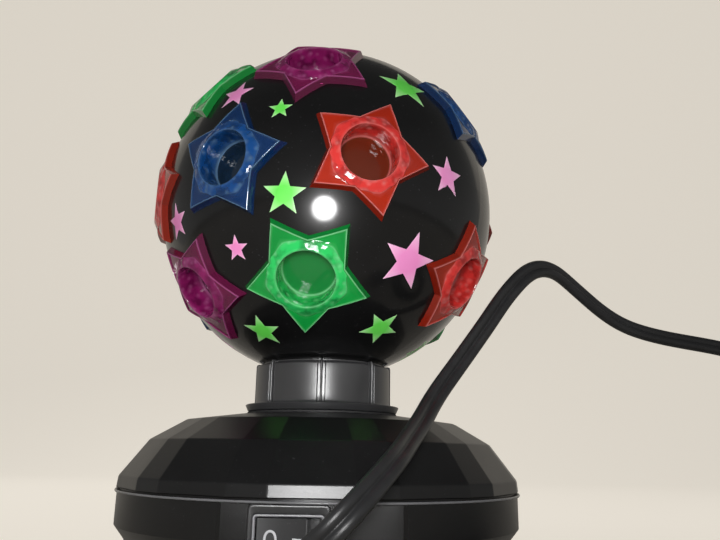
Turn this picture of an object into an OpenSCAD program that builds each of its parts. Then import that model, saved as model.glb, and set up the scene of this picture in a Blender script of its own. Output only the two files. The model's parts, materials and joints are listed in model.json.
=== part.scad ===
// Rotating star-ball lamp: a black globe with coloured star lenses turns on a faceted base with a rocker switch.
// Millimetres. The origin is on the table under the middle of the lamp, and the front with the switch faces -Y.

/* [Globe] */
// Outside diameter of the globe
globe_d = 120; // [112:0.5:126]
// Thickness of the globe's shell
globe_wall = 2; // [1.6:0.1:2.6]
// How far the centring lip reaches into the rear half of the globe
lip_depth = 2; // [1.4:0.1:3]
// Azimuth of the lens pattern's axis, from the front towards the right
pattern_azimuth = -30; // [-60:1:60]

/* [Star lenses] */
// Centre to tip of a star
star_r = 19.1; // [17:0.1:19.4]
// Centre to inner corner of a star
star_waist_r = 12.3; // [12.2:0.1:13.2]
// Height of a star over the globe
star_h = 2.2; // [1.4:0.1:2.6]
// How much narrower a star is at its top than at the globe
star_draft = 0.9; // [0.2:0.1:1.4]
// Outside diameter of the raised ring
ring_d = 23.6; // [21.6:0.1:24]
// Diameter of the dish inside the ring
dish_d = 18; // [14:0.1:18.4]
// Height of the raised ring over the globe
ring_h = 3; // [2.4:0.1:4]
// Thickness of the dish's floor
dish_t = 1.2; // [0.8:0.1:1.6]
// Diameter of the hole in the globe behind each lens
lens_hole_d = 23; // [21.4:0.1:23]
// Angle between the pattern's axis and its first circle of lenses
circle_angle = 42.7; // [41.5:0.1:44]

/* [Collar] */
// Outside diameter of the collar under the globe
collar_d = 46.8; // [45.8:0.2:50]
// Height of the collar between its flange and the globe
collar_h = 15.1; // [11:0.1:20]
// How far the flange that turns on the base stands out past the collar
flange_out = 3.3; // [2.9:0.1:4.6]
// Thickness of the flange
flange_t = 2.4; // [1.8:0.1:4]
// How much smaller than the collar the journal's radius is, which turns in the base
journal_step = 3; // [2.4:0.1:3.6]
// Wall of the journal round the way through the collar
journal_wall = 4.4; // [4:0.1:4.6]
// Number of ribs round the collar
rib_count = 8; // [6:1:12]
// Width of a rib
rib_w = 1.4; // [1:0.1:3]
// How far a rib stands out
rib_proud = 0.4; // [0.2:0.1:0.8]
// Width of the groove on each side of a rib
groove_w = 1.6; // [0.4:0.1:2]

/* [Base] */
// Diameter of the base at its rim
base_d = 132; // [130:1:146]
// Diameter of the base at its foot
foot_d = 121; // [119:1:125]
// Height of the rim over the table
rim_z = 31.1; // [30.6:0.1:36]
// Height of the faceted cover over the rim
cover_h = 23.9; // [23.9:0.1:30]
// Diameter of the flat crown on the cover
crown_d = 55; // [54:0.5:62]
// Number of wide facets round the cover
facet_count = 12; // [8:2:16]
// Share of each step round the cover that the wide facet takes
facet_share = 0.667; // [0.55:0.01:0.8]
// Angle of the base that the flat switch panel takes
panel_angle = 40; // [38:1:46]
// Wall of the two housings
wall = 2.2; // [1.8:0.1:2.4]
// Thickness of the base's floor
floor_t = 2.4; // [2:0.1:3]
// How far the rim's lip stands out
lip_proud = 0.5; // [0.3:0.1:1.2]
// Height of the rim's lip
lip_h = 0.8; // [0.6:0.1:1.2]
// Height of the groove between the lip and the cover
seam_h = 0.4; // [0.3:0.1:0.8]
// Diameter of a rubber foot
pad_d = 12; // [8:0.5:14]
// Height of a rubber foot under the base
pad_h = 2; // [1.6:0.1:3]
// Distance of the rubber feet from the middle
pad_ring_r = 50; // [46:0.5:51]
// Distance of the cover's screws from the middle
screw_ring_r = 52; // [51:0.5:53]
// Diameter of the cover's screws
screw_d = 3; // [2.6:0.1:3.2]
// Width of a cooling slot in the floor
slot_w = 2.4; // [1.6:0.1:3]

/* [Switch] */
// Width of the switch's bezel
bezel_w = 21; // [20.8:0.1:23]
// Height of the switch's bezel
bezel_h = 17; // [15:0.1:17]
// Thickness of the switch's bezel
bezel_t = 2; // [1.6:0.1:2.6]
// Sideways place of the switch's middle
switch_x = -5.8; // [-8:0.1:0]
// Width of the rocker
rocker_h = 10.4; // [9:0.1:11]
// Radius of the rocker's ends about its pin
rocker_r = 9.4; // [9:0.05:9.4]
// Depth of the rocker's pin behind the bezel's face
rocker_pin_depth = 5; // [4.6:0.1:5.4]
// Turn of the rocker from its middle to each side
rocker_turn = 14; // [11:0.5:14.5]

/* [Drive] */
// Module of the gears
gear_module = 1; // [0.95:0.01:1.02]
// Teeth of the gear on the globe's journal
ring_teeth = 60; // [56:2:60]
// Teeth of the motor's pinion
pinion_teeth = 12; // [12:1:14]
// Pressure angle of the gears
pressure_angle = 25; // [22:0.5:25]
// Thickness of the globe's gear
gear_t = 3.6; // [2.6:0.1:4]
// Diameter of the motor
motor_d = 38; // [34:0.5:39]
// Height of the motor
motor_h = 15; // [12:0.5:16]
// Distance between the motor's two screws
motor_screw_span = 52; // [50:0.5:56]
// Diameter of the motor's shaft
shaft_d = 5; // [4:0.1:5.4]

/* [Lamp] */
// Diameter of the threaded stem
stem_d = 10; // [9:0.1:11]
// Bore of the threaded stem
stem_bore_d = 7; // [5:0.1:7.4]
// Diameter of the lamp socket
socket_d = 26; // [22:0.5:27]
// Height of the lamp socket
socket_h = 28; // [24:0.5:30]
// Diameter of the bulb
bulb_d = 26; // [22:0.5:34]
// Diameter of the bulb's threaded cap
bulb_cap_d = 13.6; // [12:0.1:14.2]
// Width of the stem's nuts across their flats
nut_flats = 14; // [13:0.1:16]
// Thickness of the stem's nuts
nut_t = 4; // [3:0.1:4]

/* [Cord] */
// Width of the flat cord
cord_w = 6.4; // [5:0.1:7]
// Thickness of the flat cord
cord_t = 3.2; // [2.6:0.1:3.6]
// Mean radius of the coiled part of the cord
coil_r = 36; // [34:0.5:38]
// Length of the tapered strain relief
relief_l = 20; // [20:0.5:20]
// Width of the plug
plug_w = 24; // [20:0.5:26]
// Thickness of the plug
plug_t = 13; // [11:0.5:15]

/* [Hidden] */
$fn = 96;

// Clearances: a close seat, a running fit on the radius, a gap between faces that pass, and room round a part
seat = 0.05;
run = 0.05;
pass = 0.15;
room = 0.3;
// Overlap of shapes that become one solid, and reach of a cut past the face it opens
melt = 0.5;
reach = 1;

// Levels of the base
floor_z = pad_h + floor_t;
seam_z = rim_z - seam_h;
seam_depth = 0.8;
lip_z = seam_z - lip_h;
crown_z = rim_z + cover_h;
base_r = base_d / 2;
foot_r = foot_d / 2;
crown_r = crown_d / 2;
facet_step = 360 / facet_count;
facet_half_angle = facet_step * facet_share / 2;
panel_y = -base_r * cos(panel_angle / 2);
panel_half = base_r * sin(panel_angle / 2);
panel_depth = 10;
panel_inset = 0.5;
panel_step = 0.3;
waist_z = pad_h + 14;
waist_r = base_r - 3.3;
flare_z = waist_z + 4.2;
pad_sink = 0.8;
pad_angles = [50, 130, 230, 310];
slot_x = foot_r / 2;
slot_l = 18;
slot_step = 5.5;

// Screw posts
post_r = 4;
post_angles = [20, 160, 200, 340];
post_z = rim_z - 6;
head_r = screw_d;
head_h = 2;
head_seat_z = pad_h + 12;
screw_l = 20;
pilot_l = 14;
skirt_h = 3;
skirt_t = 1.9;

// Collar, washer and globe
washer_t = 0.6;
flange_z = crown_z + washer_t + pass;
collar_z = flange_z + flange_t;
globe_r = globe_d / 2;
collar_r = collar_d / 2;
flange_r = collar_r + flange_out;
journal_r = collar_r - journal_step;
bore_r = journal_r - journal_wall;
collar_wall = 4.8;
neck_r = collar_r - 3.4;
seat_r = neck_r + 1.2;
groove_depth = 0.7;
shoulder_drop = 1.7;
shoulder_edge = 0.8;
rib_top = 0.9;
globe_z = collar_z + collar_h + sqrt(globe_r * globe_r - collar_r * collar_r);
spigot_up = 4.5;
lip_play = 0.12;
lip_t = 1.3;
neck_from = globe_z - globe_r - 2;
neck_to = globe_z - globe_r + 11;

// Lenses: rise of the dish's floor over the globe, wall and reach of the spigot in its hole, and reach of the cuts
dish_rise = 0.6;
spigot_wall = 2;
spigot_in = 0.8;
lens_reach = 5;
block_below = 6;
block_above = 1;

// Drive
boss_h = 7.4;
boss_z = crown_z - boss_h;
gear_z = boss_z - 0.6 - gear_t;
hub_r = journal_r - 1.4;
clip_t = 1;
clip_gap = 8;
clip_z = gear_z - 0.1 - clip_t;
hub_z = clip_z - 0.7;
gear_play = 0.15;
gear_distance = gear_module * (ring_teeth + pinion_teeth) / 2 + gear_play;
motor_z = clip_z - 2.3 - motor_h;
motor_top = motor_z + motor_h;
ear_t = 1;
ear_r = 4.5;
shaft_r = shaft_d / 2;
motor_boss_r = shaft_r + 2.5;
motor_boss_h = 1.5;
motor_post_r = 3.5;
spindle_l = 10;
key_w = 3;
key_h = 1.6;

// Lamp
pedestal_r = 13;
pedestal_z = pad_h + 13;
recess_z = pad_h + 9;
bulb_reach = 42;
cap_l = 18;
cap_z = globe_z - bulb_reach;
socket_z = cap_z - 6.3;
stem_top = socket_z + 4;
stem_bottom = pad_h + 2.5;
bulb_neck_r = bulb_cap_d / 2 - 0.3;
nut_r = nut_flats / 2 / cos(30);

// Switch: its bezel ends just under the lip, and its body is smaller than the bezel
bezel_gap = 0.1;
switch_z = lip_z - bezel_gap - bezel_h / 2;
body_w = bezel_w - 1.5;
body_h = bezel_h - 2.4;
snap_l = 6;
snap_run = 5;
snap_proud = 0.8;
body_depth = 16;
pin_y = panel_y - bezel_t + rocker_pin_depth;
rocker_gap = 0.28;
mouth_half = 8.4;
cavity_half = rocker_r - 0.15;
cavity_depth = 11;
side_gap = 0.2;
pin_r = 1;
pin_l = 0.7;
terminal_w = 4.8;
terminal_t = 0.8;
terminal_l = 8;

// Cord: its way from the strain relief, over the cover's shoulder, through the raised bend and down to the coil
relief_x = -14;
relief_z = 8;
relief_way = [0.5, -0.75, 0.43];
relief_r = 4.2;
relief_tip_r = 3.5;
relief_flange_r = 4.6;
relief_flange_t = 2;
relief_hole_r = 3.1;
relief_lock = 0.4;
relief_lock_t = 2;
relief_root = 3;
relief_tip = [relief_x, panel_y - relief_flange_t, relief_z] + relief_l * unit(relief_way);
route = [relief_tip, [-0.5, -83, 20.2], [4, -86, 24.5], [9.5, -85.5, 30], [15, -79.5, 35.5], [21, -69, 41.5],
    [25.5, -57, 46.5], [30, -46, 52], [33.5, -38, 57], [37.5, -32, 62.5], [42.5, -28, 69], [48.5, -25.5, 77],
    [55, -24, 86], [60, -22.5, 93], [65, -21, 99], [70.5, -18, 104], [76.5, -14, 106.5], [82.5, -10, 106],
    [88, -7, 103], [94, -5, 98.5], [101, -3, 93.5], [109, -2, 89], [118, -2, 86], [131, -2, 83.5],
    [145, -4, 80.5], [157, -9, 75], [167, -16, 66.5], [174, -24, 55], [178, -33, 41], [180, -42, 27],
    [180, -51, 14], [179, -57, 8]];
cord_side = [1, 0, -1];
coil_x = 140;
coil_y = -52;
coil_rows = 2;
coil_layers = 3;
plug_l = 26;
plug_relief_l = 24;
plug_x = 92.5;
plug_y = -88;
blade_l = 16;
blade_w = 6.3;
blade_t = 1.5;
blade_gap = 12.7;

// Colours
black = "#141416";
dark = "#222326";
rubber = "#0d0d0d";
steel = "#b4b7bb";
brass = "#b59a56";
ivory = "#dad4c2";
red = "#e22a3c";
green = "#2fd75a";
blue = "#2a63c4";
magenta = "#b0257e";

// Lens sites: angle from the pattern's axis, direction round it, turn of the star and colour
lens_sites = [
    [circle_angle, 60, 62, magenta],
    [circle_angle, 120, 30, green],
    [0, 0, 8, blue],
    [circle_angle, 0, 69, red],
    [90, 30, 15, blue],
    [circle_angle, 180, 40, red],
    [circle_angle, 240, 36, magenta],
    [circle_angle, 300, 29, green],
    [90, 330, 38, red],
    [180 - circle_angle, 300, 20, green],
    [180 - circle_angle, 0, 50, red],
    [90, 90, 0, blue],
    [180 - circle_angle, 60, 10, magenta],
    [180 - circle_angle, 120, 44, red],
    [90, 150, 25, magenta],
    [90, 210, 60, blue],
    [180 - circle_angle, 180, 33, green],
    [180 - circle_angle, 240, 55, magenta],
    [180, 0, 5, blue]];

// Unit vector, point on a circle, and one direction carried along to the plane across another
function unit(v) = v / norm(v);
function polar(r, a) = [r * cos(a), r * sin(a)];
function carried(side, way) = unit(side - (side * way) * way);

// Solid through rings of points that all hold the same number of points, closed with a flat face at both ends
module skin(rings) {
    n = len(rings[0]);
    last = (len(rings) - 1) * n;
    points = [for (ring = rings) each ring];
    sides = [for (i = [0:len(rings) - 2]) for (j = [0:n - 1]) let (a = i * n + j, b = i * n + (j + 1) % n)
        [a, a + n, b + n, b]];
    polyhedron(points, concat([[for (j = [0:n - 1]) j]], sides, [[for (j = [n - 1:-1:0]) last + j]]));
}

// Faceted cover: its corners keep their angles while the rings shrink towards the crown
facet_corners = [for (k = [0:facet_count - 1]) for (side = [-1, 1])
    270 + k * facet_step + side * facet_half_angle];
cover_profile = [[base_r, rim_z], [base_r, rim_z + 0.151 * cover_h],
    [crown_r + 0.78 * (base_r - crown_r), rim_z + 0.619 * cover_h],
    [crown_r + 0.486 * (base_r - crown_r), rim_z + 0.895 * cover_h], [crown_r, crown_z]];

// Inward normal of the profile's edge from p to q, and a profile corner moved inwards by t along both its edges
function inward(p, q) = unit([p.y - q.y, q.x - p.x]);
function inner_corner(p, n1, n2, t) = p + t * (n1 + n2) / (1 + n1 * n2);
function inner_profile(line, t) = let (n = len(line), ends = concat(line, [[0, line[n - 1].y]])) concat(
    [[line[0].x - t, line[0].y]],
    [for (i = [1:n - 1]) inner_corner(ends[i], inward(ends[i - 1], ends[i]), inward(ends[i], ends[i + 1]), t)]);

module cover_form(line, drop = 0) {
    rings = concat([[line[0].x, line[0].y - drop]], [for (i = [1:len(line) - 1]) line[i]]);
    skin([for (ring = rings) [for (a = facet_corners) [ring.x * cos(a), ring.x * sin(a), ring.y]]]);
}

module tube(r_out, r_in, z0, z1) {
    difference() {
        translate([0, 0, z0]) cylinder(r = r_out, h = z1 - z0);
        translate([0, 0, z0 - reach]) cylinder(r = r_in, h = z1 - z0 + 2 * reach);
    }
}

module round_bar(r, z0, z1) {
    translate([0, 0, z0]) cylinder(r = r, h = z1 - z0);
}

module at_posts() {
    for (a = post_angles) translate([screw_ring_r * cos(a), screw_ring_r * sin(a), 0]) children();
}

module at_motor_screws() {
    for (side = [-1, 1]) translate([side * motor_screw_span / 2, gear_distance, 0]) children();
}

module at_pads() {
    for (a = pad_angles) translate([pad_ring_r * cos(a), pad_ring_r * sin(a), 0]) children();
}

// Outer form of the lower housing, with the flat panel for the switch under the lip
module lower_form() {
    difference() {
        rotate_extrude() polygon([[0, pad_h], [foot_r, pad_h], [waist_r, waist_z], [base_r, flare_z],
            [base_r, lip_z], [base_r + lip_proud, lip_z], [base_r + lip_proud, seam_z],
            [base_r - seam_depth, seam_z], [base_r - seam_depth, rim_z], [0, rim_z]]);
        translate([-base_r, panel_y + panel_step - base_r, 0]) cube([base_d, base_r, lip_z]);
    }
    translate([-panel_half + panel_inset, panel_y, pad_h])
        cube([2 * (panel_half - panel_inset), panel_depth, lip_z - pad_h + lip_h / 2]);
}

module lower_cavity() {
    difference() {
        rotate_extrude() polygon([[0, floor_z], [foot_r - wall, floor_z], [waist_r - wall, waist_z],
            [base_r - wall, flare_z], [base_r - wall, rim_z + reach], [0, rim_z + reach]]);
        translate([-base_r, panel_y + wall + panel_step - base_r, 0]) cube([base_d, base_r, 3 * rim_z]);
    }
    translate([wall + panel_inset - panel_half, panel_y + wall, floor_z])
        cube([2 * (panel_half - panel_inset - wall), panel_depth, rim_z - floor_z + reach]);
}

module lower_housing() color(black) {
    difference() {
        union() {
            difference() {
                lower_form();
                lower_cavity();
            }
            round_bar(pedestal_r, pad_h, pedestal_z);
            at_posts() round_bar(post_r, pad_h, post_z);
            at_motor_screws() round_bar(motor_post_r, floor_z - melt, motor_top - ear_t);
        }
        translate([0, 0, pad_h - reach]) cylinder(r = pedestal_r - 2.5, h = recess_z - pad_h + reach);
        round_bar(stem_d / 2 + 0.1, recess_z - reach, pedestal_z + reach);
        at_posts() {
            round_bar(head_r + room, pad_h - reach, head_seat_z);
            round_bar(screw_d / 2 + 0.2, head_seat_z - reach, post_z + reach);
        }
        at_motor_screws() round_bar(screw_d / 2 - seat, motor_top - ear_t - 12, motor_top + reach);
        at_pads() round_bar(pad_d / 2 + seat, pad_h - reach, pad_h + pad_sink);
        translate([switch_x - body_w / 2 - seat, panel_y - reach, switch_z - body_h / 2 - pass])
            cube([body_w + 2 * seat, wall + 2 * reach, body_h + 2 * pass]);
        translate([relief_x, panel_y - reach, relief_z]) rotate([-90, 0, 0])
            cylinder(r = relief_hole_r, h = wall + 2 * reach);
        for (side = [-1, 1]) for (k = [-3:3])
            translate([side * slot_x - slot_l / 2, slot_step * k - slot_w / 2, pad_h - reach])
                cube([slot_l, slot_w, floor_t + 2 * reach]);
    }
}

module rubber_feet() color(rubber) at_pads() {
    round_bar(pad_d / 2, 0.6, pad_h + pad_sink);
    cylinder(r1 = pad_d / 2 - 0.5, r2 = pad_d / 2, h = 0.6);
}

module cover_screws() color(steel) at_posts() {
    difference() {
        round_bar(head_r, head_seat_z - head_h, head_seat_z);
        translate([0, 0, head_seat_z - head_h - reach]) cylinder(r = screw_d / 2, h = reach + 1, $fn = 6);
    }
    round_bar(screw_d / 2 - 2 * seat, head_seat_z - melt, head_seat_z + screw_l);
}

module cover_skirt() {
    top_r = base_r - wall - room;
    difference() {
        union() {
            tube(top_r, top_r - skirt_t, rim_z - skirt_h, rim_z + 2);
            tube(top_r + 0.7, top_r - skirt_t, rim_z, rim_z + 2);
        }
        translate([-base_r, -2 * base_r, rim_z - skirt_h - reach])
            cube([base_d, 2 * base_r + panel_y + wall + room, skirt_h + reach]);
    }
}

module top_cover() color(black) {
    inner = inner_profile(cover_profile, wall);
    difference() {
        union() {
            difference() {
                cover_form(cover_profile);
                cover_form(inner, reach);
            }
            cover_skirt();
            round_bar(journal_r + 2.4, boss_z, crown_z - wall / 2);
            intersection() {
                at_posts() round_bar(post_r, post_z, crown_z);
                cover_form([for (p = cover_profile) p - [wall / 2, wall / 2]], rim_z);
            }
        }
        round_bar(journal_r + run, boss_z - reach, crown_z + reach);
        at_posts() round_bar(screw_d / 2 - seat, post_z - reach, post_z + pilot_l);
    }
}

module thrust_washer() color(dark) tube(flange_r - 0.7, journal_r + 0.6, crown_z, crown_z + washer_t);

module lamp_stem() color(steel) {
    difference() {
        tube(stem_d / 2, stem_bore_d / 2, stem_bottom, stem_top);
        translate([0, 0, pedestal_z + 9]) rotate([90, 0, 0]) cylinder(r = 2.5, h = stem_d);
    }
}

module stem_nuts() color(steel) for (z = [recess_z - nut_t, pedestal_z]) {
    difference() {
        translate([0, 0, z]) cylinder(r = nut_r, h = nut_t, $fn = 6);
        round_bar(stem_d / 2 + seat, z - reach, z + nut_t + reach);
    }
}

module lamp_socket() color(ivory) {
    difference() {
        union() {
            round_bar(socket_d / 2, socket_z, socket_z + socket_h);
            round_bar(socket_d / 2 + 1, socket_z + socket_h - 5, socket_z + socket_h - 2);
            round_bar(stem_d / 2 + 2.5, socket_z - 5, socket_z + 1);
        }
        round_bar(stem_d / 2 + seat, socket_z - 5 - reach, stem_top);
        round_bar(stem_bore_d / 2, stem_top - reach, cap_z);
        round_bar(bulb_cap_d / 2 + 0.8 + seat, cap_z - room, socket_z + socket_h + reach);
    }
}

module socket_shell() color(brass) {
    tube(bulb_cap_d / 2 + 0.8, bulb_cap_d / 2 + 0.2, cap_z + 1, socket_z + socket_h - 2);
}

module bulb_cap() color(steel) {
    round_bar(bulb_cap_d / 2, cap_z + 2, cap_z + cap_l);
    translate([0, 0, cap_z]) cylinder(r1 = bulb_cap_d / 4, r2 = bulb_cap_d / 2 - 0.6, h = 2);
}

module bulb_glass() color(ivory) {
    round_bar(bulb_neck_r, cap_z + cap_l, globe_z);
    translate([0, 0, globe_z]) sphere(r = bulb_d / 2);
}

module gear_motor() color(steel) translate([0, gear_distance, 0]) {
    difference() {
        union() {
            round_bar(motor_d / 2, motor_z, motor_top);
            translate([-motor_screw_span / 2, -ear_r, motor_top - ear_t]) cube([motor_screw_span, 2 * ear_r, ear_t]);
            for (side = [-1, 1]) translate([side * motor_screw_span / 2, 0, 0])
                round_bar(ear_r, motor_top - ear_t, motor_top);
            round_bar(motor_boss_r, motor_top - melt, motor_top + motor_boss_h);
        }
        round_bar(shaft_r + run, motor_top - spindle_l, motor_top + motor_boss_h + reach);
        for (side = [-1, 1]) translate([side * motor_screw_span / 2, 0, 0])
            round_bar(screw_d / 2 + 0.2, motor_top - ear_t - reach, motor_top + reach);
    }
}

module motor_screws() color(steel) at_motor_screws() {
    difference() {
        round_bar(head_r - 0.2, motor_top, motor_top + head_h);
        translate([-head_r, -0.4, motor_top + head_h - 0.8]) cube([2 * head_r, 0.8, reach]);
    }
    round_bar(screw_d / 2 - 2 * seat, motor_top - 10, motor_top + melt);
}

module motor_shaft() color(steel) translate([0, gear_distance, 0])
    round_bar(shaft_r, motor_top - spindle_l, gear_z + gear_t + 0.4);

// Involute teeth: half the angle that a tooth takes at radius r
function involute_angle(a) = tan(a) * 180 / PI - a;
function half_tooth(r, r_base, n) = 90 / n + involute_angle(pressure_angle) - involute_angle(acos(min(1, r_base / r)));

module gear_outline(n) {
    r_pitch = gear_module * n / 2;
    r_base = r_pitch * cos(pressure_angle);
    r_root = r_pitch - 1.25 * gear_module;
    r_tip = r_pitch + gear_module;
    r_start = max(r_base, r_root);
    steps = 4;
    radii = [for (k = [0:steps]) r_start + (r_tip - r_start) * k / steps];
    flank = concat([[r_root, half_tooth(r_start, r_base, n)]], [for (r = radii) [r, half_tooth(r, r_base, n)]]);
    from = r_root < r_start ? 0 : 1;
    side = [for (k = [from:len(flank) - 1]) flank[k]];
    polygon([for (t = [0:n - 1]) each concat(
        [for (k = [0:len(side) - 1]) polar(side[k][0], t * 360 / n - side[k][1])],
        [for (k = [len(side) - 1:-1:0]) polar(side[k][0], t * 360 / n + side[k][1])])]);
}

module ring_gear() color(ivory) translate([0, 0, gear_z]) {
    rim_r = gear_module * ring_teeth / 2 - 1.25 * gear_module;
    difference() {
        linear_extrude(gear_t) gear_outline(ring_teeth);
        translate([0, 0, -reach]) cylinder(r = hub_r + seat, h = gear_t + 2 * reach);
        for (side = [0, 180]) rotate([0, 0, side]) translate([0, -key_w / 2 - seat, -reach])
            cube([hub_r + key_h + seat, key_w + 2 * seat, gear_t + 2 * reach]);
        for (k = [0:9]) rotate([0, 0, 18 + 36 * k]) translate([(rim_r + hub_r) / 2 + 0.2, 0, -reach])
            cylinder(d = rim_r - hub_r - 4.5, h = gear_t + 2 * reach);
    }
}

module drive_pinion() color(ivory) translate([0, gear_distance, 0]) {
    difference() {
        union() {
            translate([0, 0, gear_z - 0.4]) rotate([0, 0, 270 - 180 / pinion_teeth])
                linear_extrude(gear_t + 0.8) gear_outline(pinion_teeth);
            round_bar(gear_module * pinion_teeth / 2 - 1.5 * gear_module, motor_top + motor_boss_h + pass, gear_z);
        }
        round_bar(shaft_r + seat / 5, motor_top, gear_z + gear_t + 5);
    }
}

module gear_clip() color(steel) {
    difference() {
        tube(hub_r + 2.5, hub_r - 0.7, clip_z, clip_z + clip_t);
        translate([-clip_gap / 2, -hub_r - 5, clip_z - reach]) cube([clip_gap, 10, clip_t + 2 * reach]);
    }
}

// Body of the collar between the flange and the globe, with its ribs
module collar_ribs() {
    for (k = [0:rib_count - 1]) rotate([0, 0, 270 + 360 * k / rib_count])
        translate([collar_r - groove_depth - melt, -rib_w / 2, collar_z - melt])
            cube([melt + groove_depth + rib_proud, rib_w, collar_h + melt - shoulder_drop + rib_top]);
}

module collar_grooves() {
    for (k = [0:rib_count - 1]) for (side = [-1, 1]) rotate([0, 0, 270 + 360 * k / rib_count])
        translate([collar_r - groove_depth, side * (rib_w + groove_w) / 2 - groove_w / 2, collar_z - melt / 2])
            cube([groove_depth + reach, groove_w, collar_h + reach]);
}

module collar() color(black) {
    seat_z = collar_z + collar_h;
    shoulder_z = seat_z - shoulder_drop;
    difference() {
        union() {
            difference() {
                union() {
                    round_bar(collar_r, collar_z - melt, shoulder_z - shoulder_edge);
                    translate([0, 0, shoulder_z - shoulder_edge])
                        cylinder(r1 = collar_r, r2 = collar_r - shoulder_edge, h = shoulder_edge);
                }
                collar_grooves();
            }
            collar_ribs();
            round_bar(seat_r, shoulder_z - melt, seat_z + reach);
        }
        translate([0, 0, globe_z]) sphere(r = globe_r + seat);
        round_bar(collar_r - collar_wall, collar_z, seat_z + 4);
        round_bar(bore_r, collar_z - 3, collar_z + reach);
    }
    tube(neck_r - 0.2, collar_r - collar_wall, seat_z - 3, seat_z + spigot_up);
    difference() {
        tube(collar_r, collar_r - collar_wall, seat_z, seat_z + spigot_up + reach);
        difference() {
            translate([0, 0, globe_z]) sphere(r = 2 * globe_r);
            translate([0, 0, globe_z]) sphere(r = globe_r - globe_wall - 2 * run - seat);
        }
        translate([0, 0, globe_z]) sphere(r = globe_r - globe_wall - 1.8);
    }
    tube(flange_r, bore_r, flange_z, collar_z);
    tube(journal_r, bore_r, gear_z + gear_t, flange_z + melt);
    difference() {
        union() {
            tube(hub_r, bore_r, hub_z, gear_z + gear_t + melt);
            for (side = [0, 180]) rotate([0, 0, side]) translate([hub_r - melt, -key_w / 2, gear_z])
                cube([melt + key_h, key_w, gear_t + melt]);
        }
        tube(hub_r + 5, hub_r - 0.75, clip_z - seat, clip_z + clip_t + seat);
    }
}

// Places a child at one lens site, with its Z axis pointing out of the globe
module at_site(site) {
    on_pattern() rotate([0, 0, site[1]]) rotate([0, site[0], 0]) children();
}

// Places a child at the middle of the globe, with its Z axis along the pattern's axis
module on_pattern() {
    translate([0, 0, globe_z]) rotate([90, 0, pattern_azimuth]) children();
}

module sphere_shell(r_out, r_in) {
    difference() {
        sphere(r = r_out);
        sphere(r = r_in);
    }
}

// Block with the star's outline whose sides lean in by the draft
module star_block() {
    z0 = globe_r - block_below;
    rise = block_below + star_h + block_above;
    grow = star_draft * (block_below - melt) / star_h;
    r0 = star_r + grow;
    skin([for (z = [z0, z0 + rise]) let (s = (r0 - star_draft * (z - z0) / star_h) / star_r)
        [for (k = [0:9]) concat(polar(s * (k % 2 == 0 ? star_r : star_waist_r), 36 * k), [z])]]);
}

module star_lens(index) {
    site = lens_sites[index];
    ring_r = ring_d / 2;
    dish_r = dish_d / 2;
    spigot_r = lens_hole_d / 2 - 2 * seat;
    color(site[3]) at_site(site) rotate([0, 0, site[2]]) {
        difference() {
            intersection() {
                star_block();
                sphere_shell(globe_r + star_h, globe_r + seat);
            }
            cylinder(r = dish_r + melt, h = 2 * globe_r);
        }
        intersection() {
            tube(ring_r, dish_r, globe_r - lens_reach, globe_r + lens_reach);
            sphere_shell(globe_r + ring_h, globe_r + seat);
        }
        intersection() {
            tube(spigot_r, spigot_r - spigot_wall, globe_r - globe_wall - spigot_in, globe_r + lens_reach);
            sphere(r = globe_r + star_h / 2);
        }
        intersection() {
            round_bar(dish_r + reach, globe_r - lens_reach, globe_r + lens_reach);
            sphere_shell(globe_r + dish_rise, globe_r + dish_rise - dish_t);
        }
    }
}

// Half of the globe on one side of the plane across the pattern's axis, with holes for the lenses and the collar
module globe_half(sign) {
    mine = [for (site = lens_sites) if (sign * (90 - site[0]) >= 0) site];
    color(black) difference() {
        union() {
            on_pattern() intersection() {
                sphere_shell(globe_r, globe_r - globe_wall);
                translate([-globe_d, -globe_d, sign > 0 ? 0 : -2 * globe_d]) cube(2 * globe_d);
            }
            if (sign > 0) globe_lip();
        }
        for (site = mine) at_site(site) round_bar(lens_hole_d / 2, globe_r - lens_reach - globe_wall, globe_r + star_h);
        round_bar(neck_r, neck_from, neck_to);
    }
}

// Lip on the front half that centres the rear half, left out where the collar passes
module globe_lip() {
    r = globe_r - globe_wall;
    difference() {
        on_pattern() {
            tube(r - lip_play, r - lip_play - lip_t, -lip_depth, 3);
            tube(r + 0.6, r - 1, 0, 3);
        }
        round_bar(collar_r + melt, neck_from, neck_to);
    }
}

module globe_front() globe_half(1);
module globe_rear() globe_half(-1);

module switch_body() color(dark) {
    difference() {
        union() {
            translate([switch_x - bezel_w / 2, panel_y - bezel_t, switch_z - bezel_h / 2])
                cube([bezel_w, bezel_t, bezel_h]);
            translate([switch_x - body_w / 2, panel_y - melt, switch_z - body_h / 2])
                cube([body_w, body_depth + melt, body_h]);
            for (side = [-1, 1]) translate([switch_x + side * body_w / 2, panel_y + wall + pass, switch_z])
                linear_extrude(snap_l, center = true)
                    polygon([[-side * melt, 0], [side * snap_proud, 0], [0, snap_run], [-side * melt, snap_run]]);
        }
        translate([switch_x - mouth_half, panel_y - bezel_t - reach, switch_z - rocker_h / 2 - side_gap])
            cube([2 * mouth_half, bezel_t + 2 * reach, rocker_h + 2 * side_gap]);
        intersection() {
            translate([switch_x, pin_y, switch_z - rocker_h / 2 - side_gap])
                cylinder(r = rocker_r + rocker_gap, h = rocker_h + 2 * side_gap);
            translate([switch_x - bezel_w / 2, panel_y - bezel_t - reach, 0])
                cube([bezel_w, bezel_t + reach + melt, 2 * rim_z]);
        }
        translate([switch_x - cavity_half, panel_y, switch_z - rocker_h / 2 - side_gap])
            cube([2 * cavity_half, cavity_depth, rocker_h + 2 * side_gap]);
        translate([switch_x, pin_y, switch_z - rocker_h / 2 - side_gap - pin_l])
            cylinder(r = pin_r + run, h = rocker_h + 2 * side_gap + 2 * pin_l);
    }
}

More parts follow.
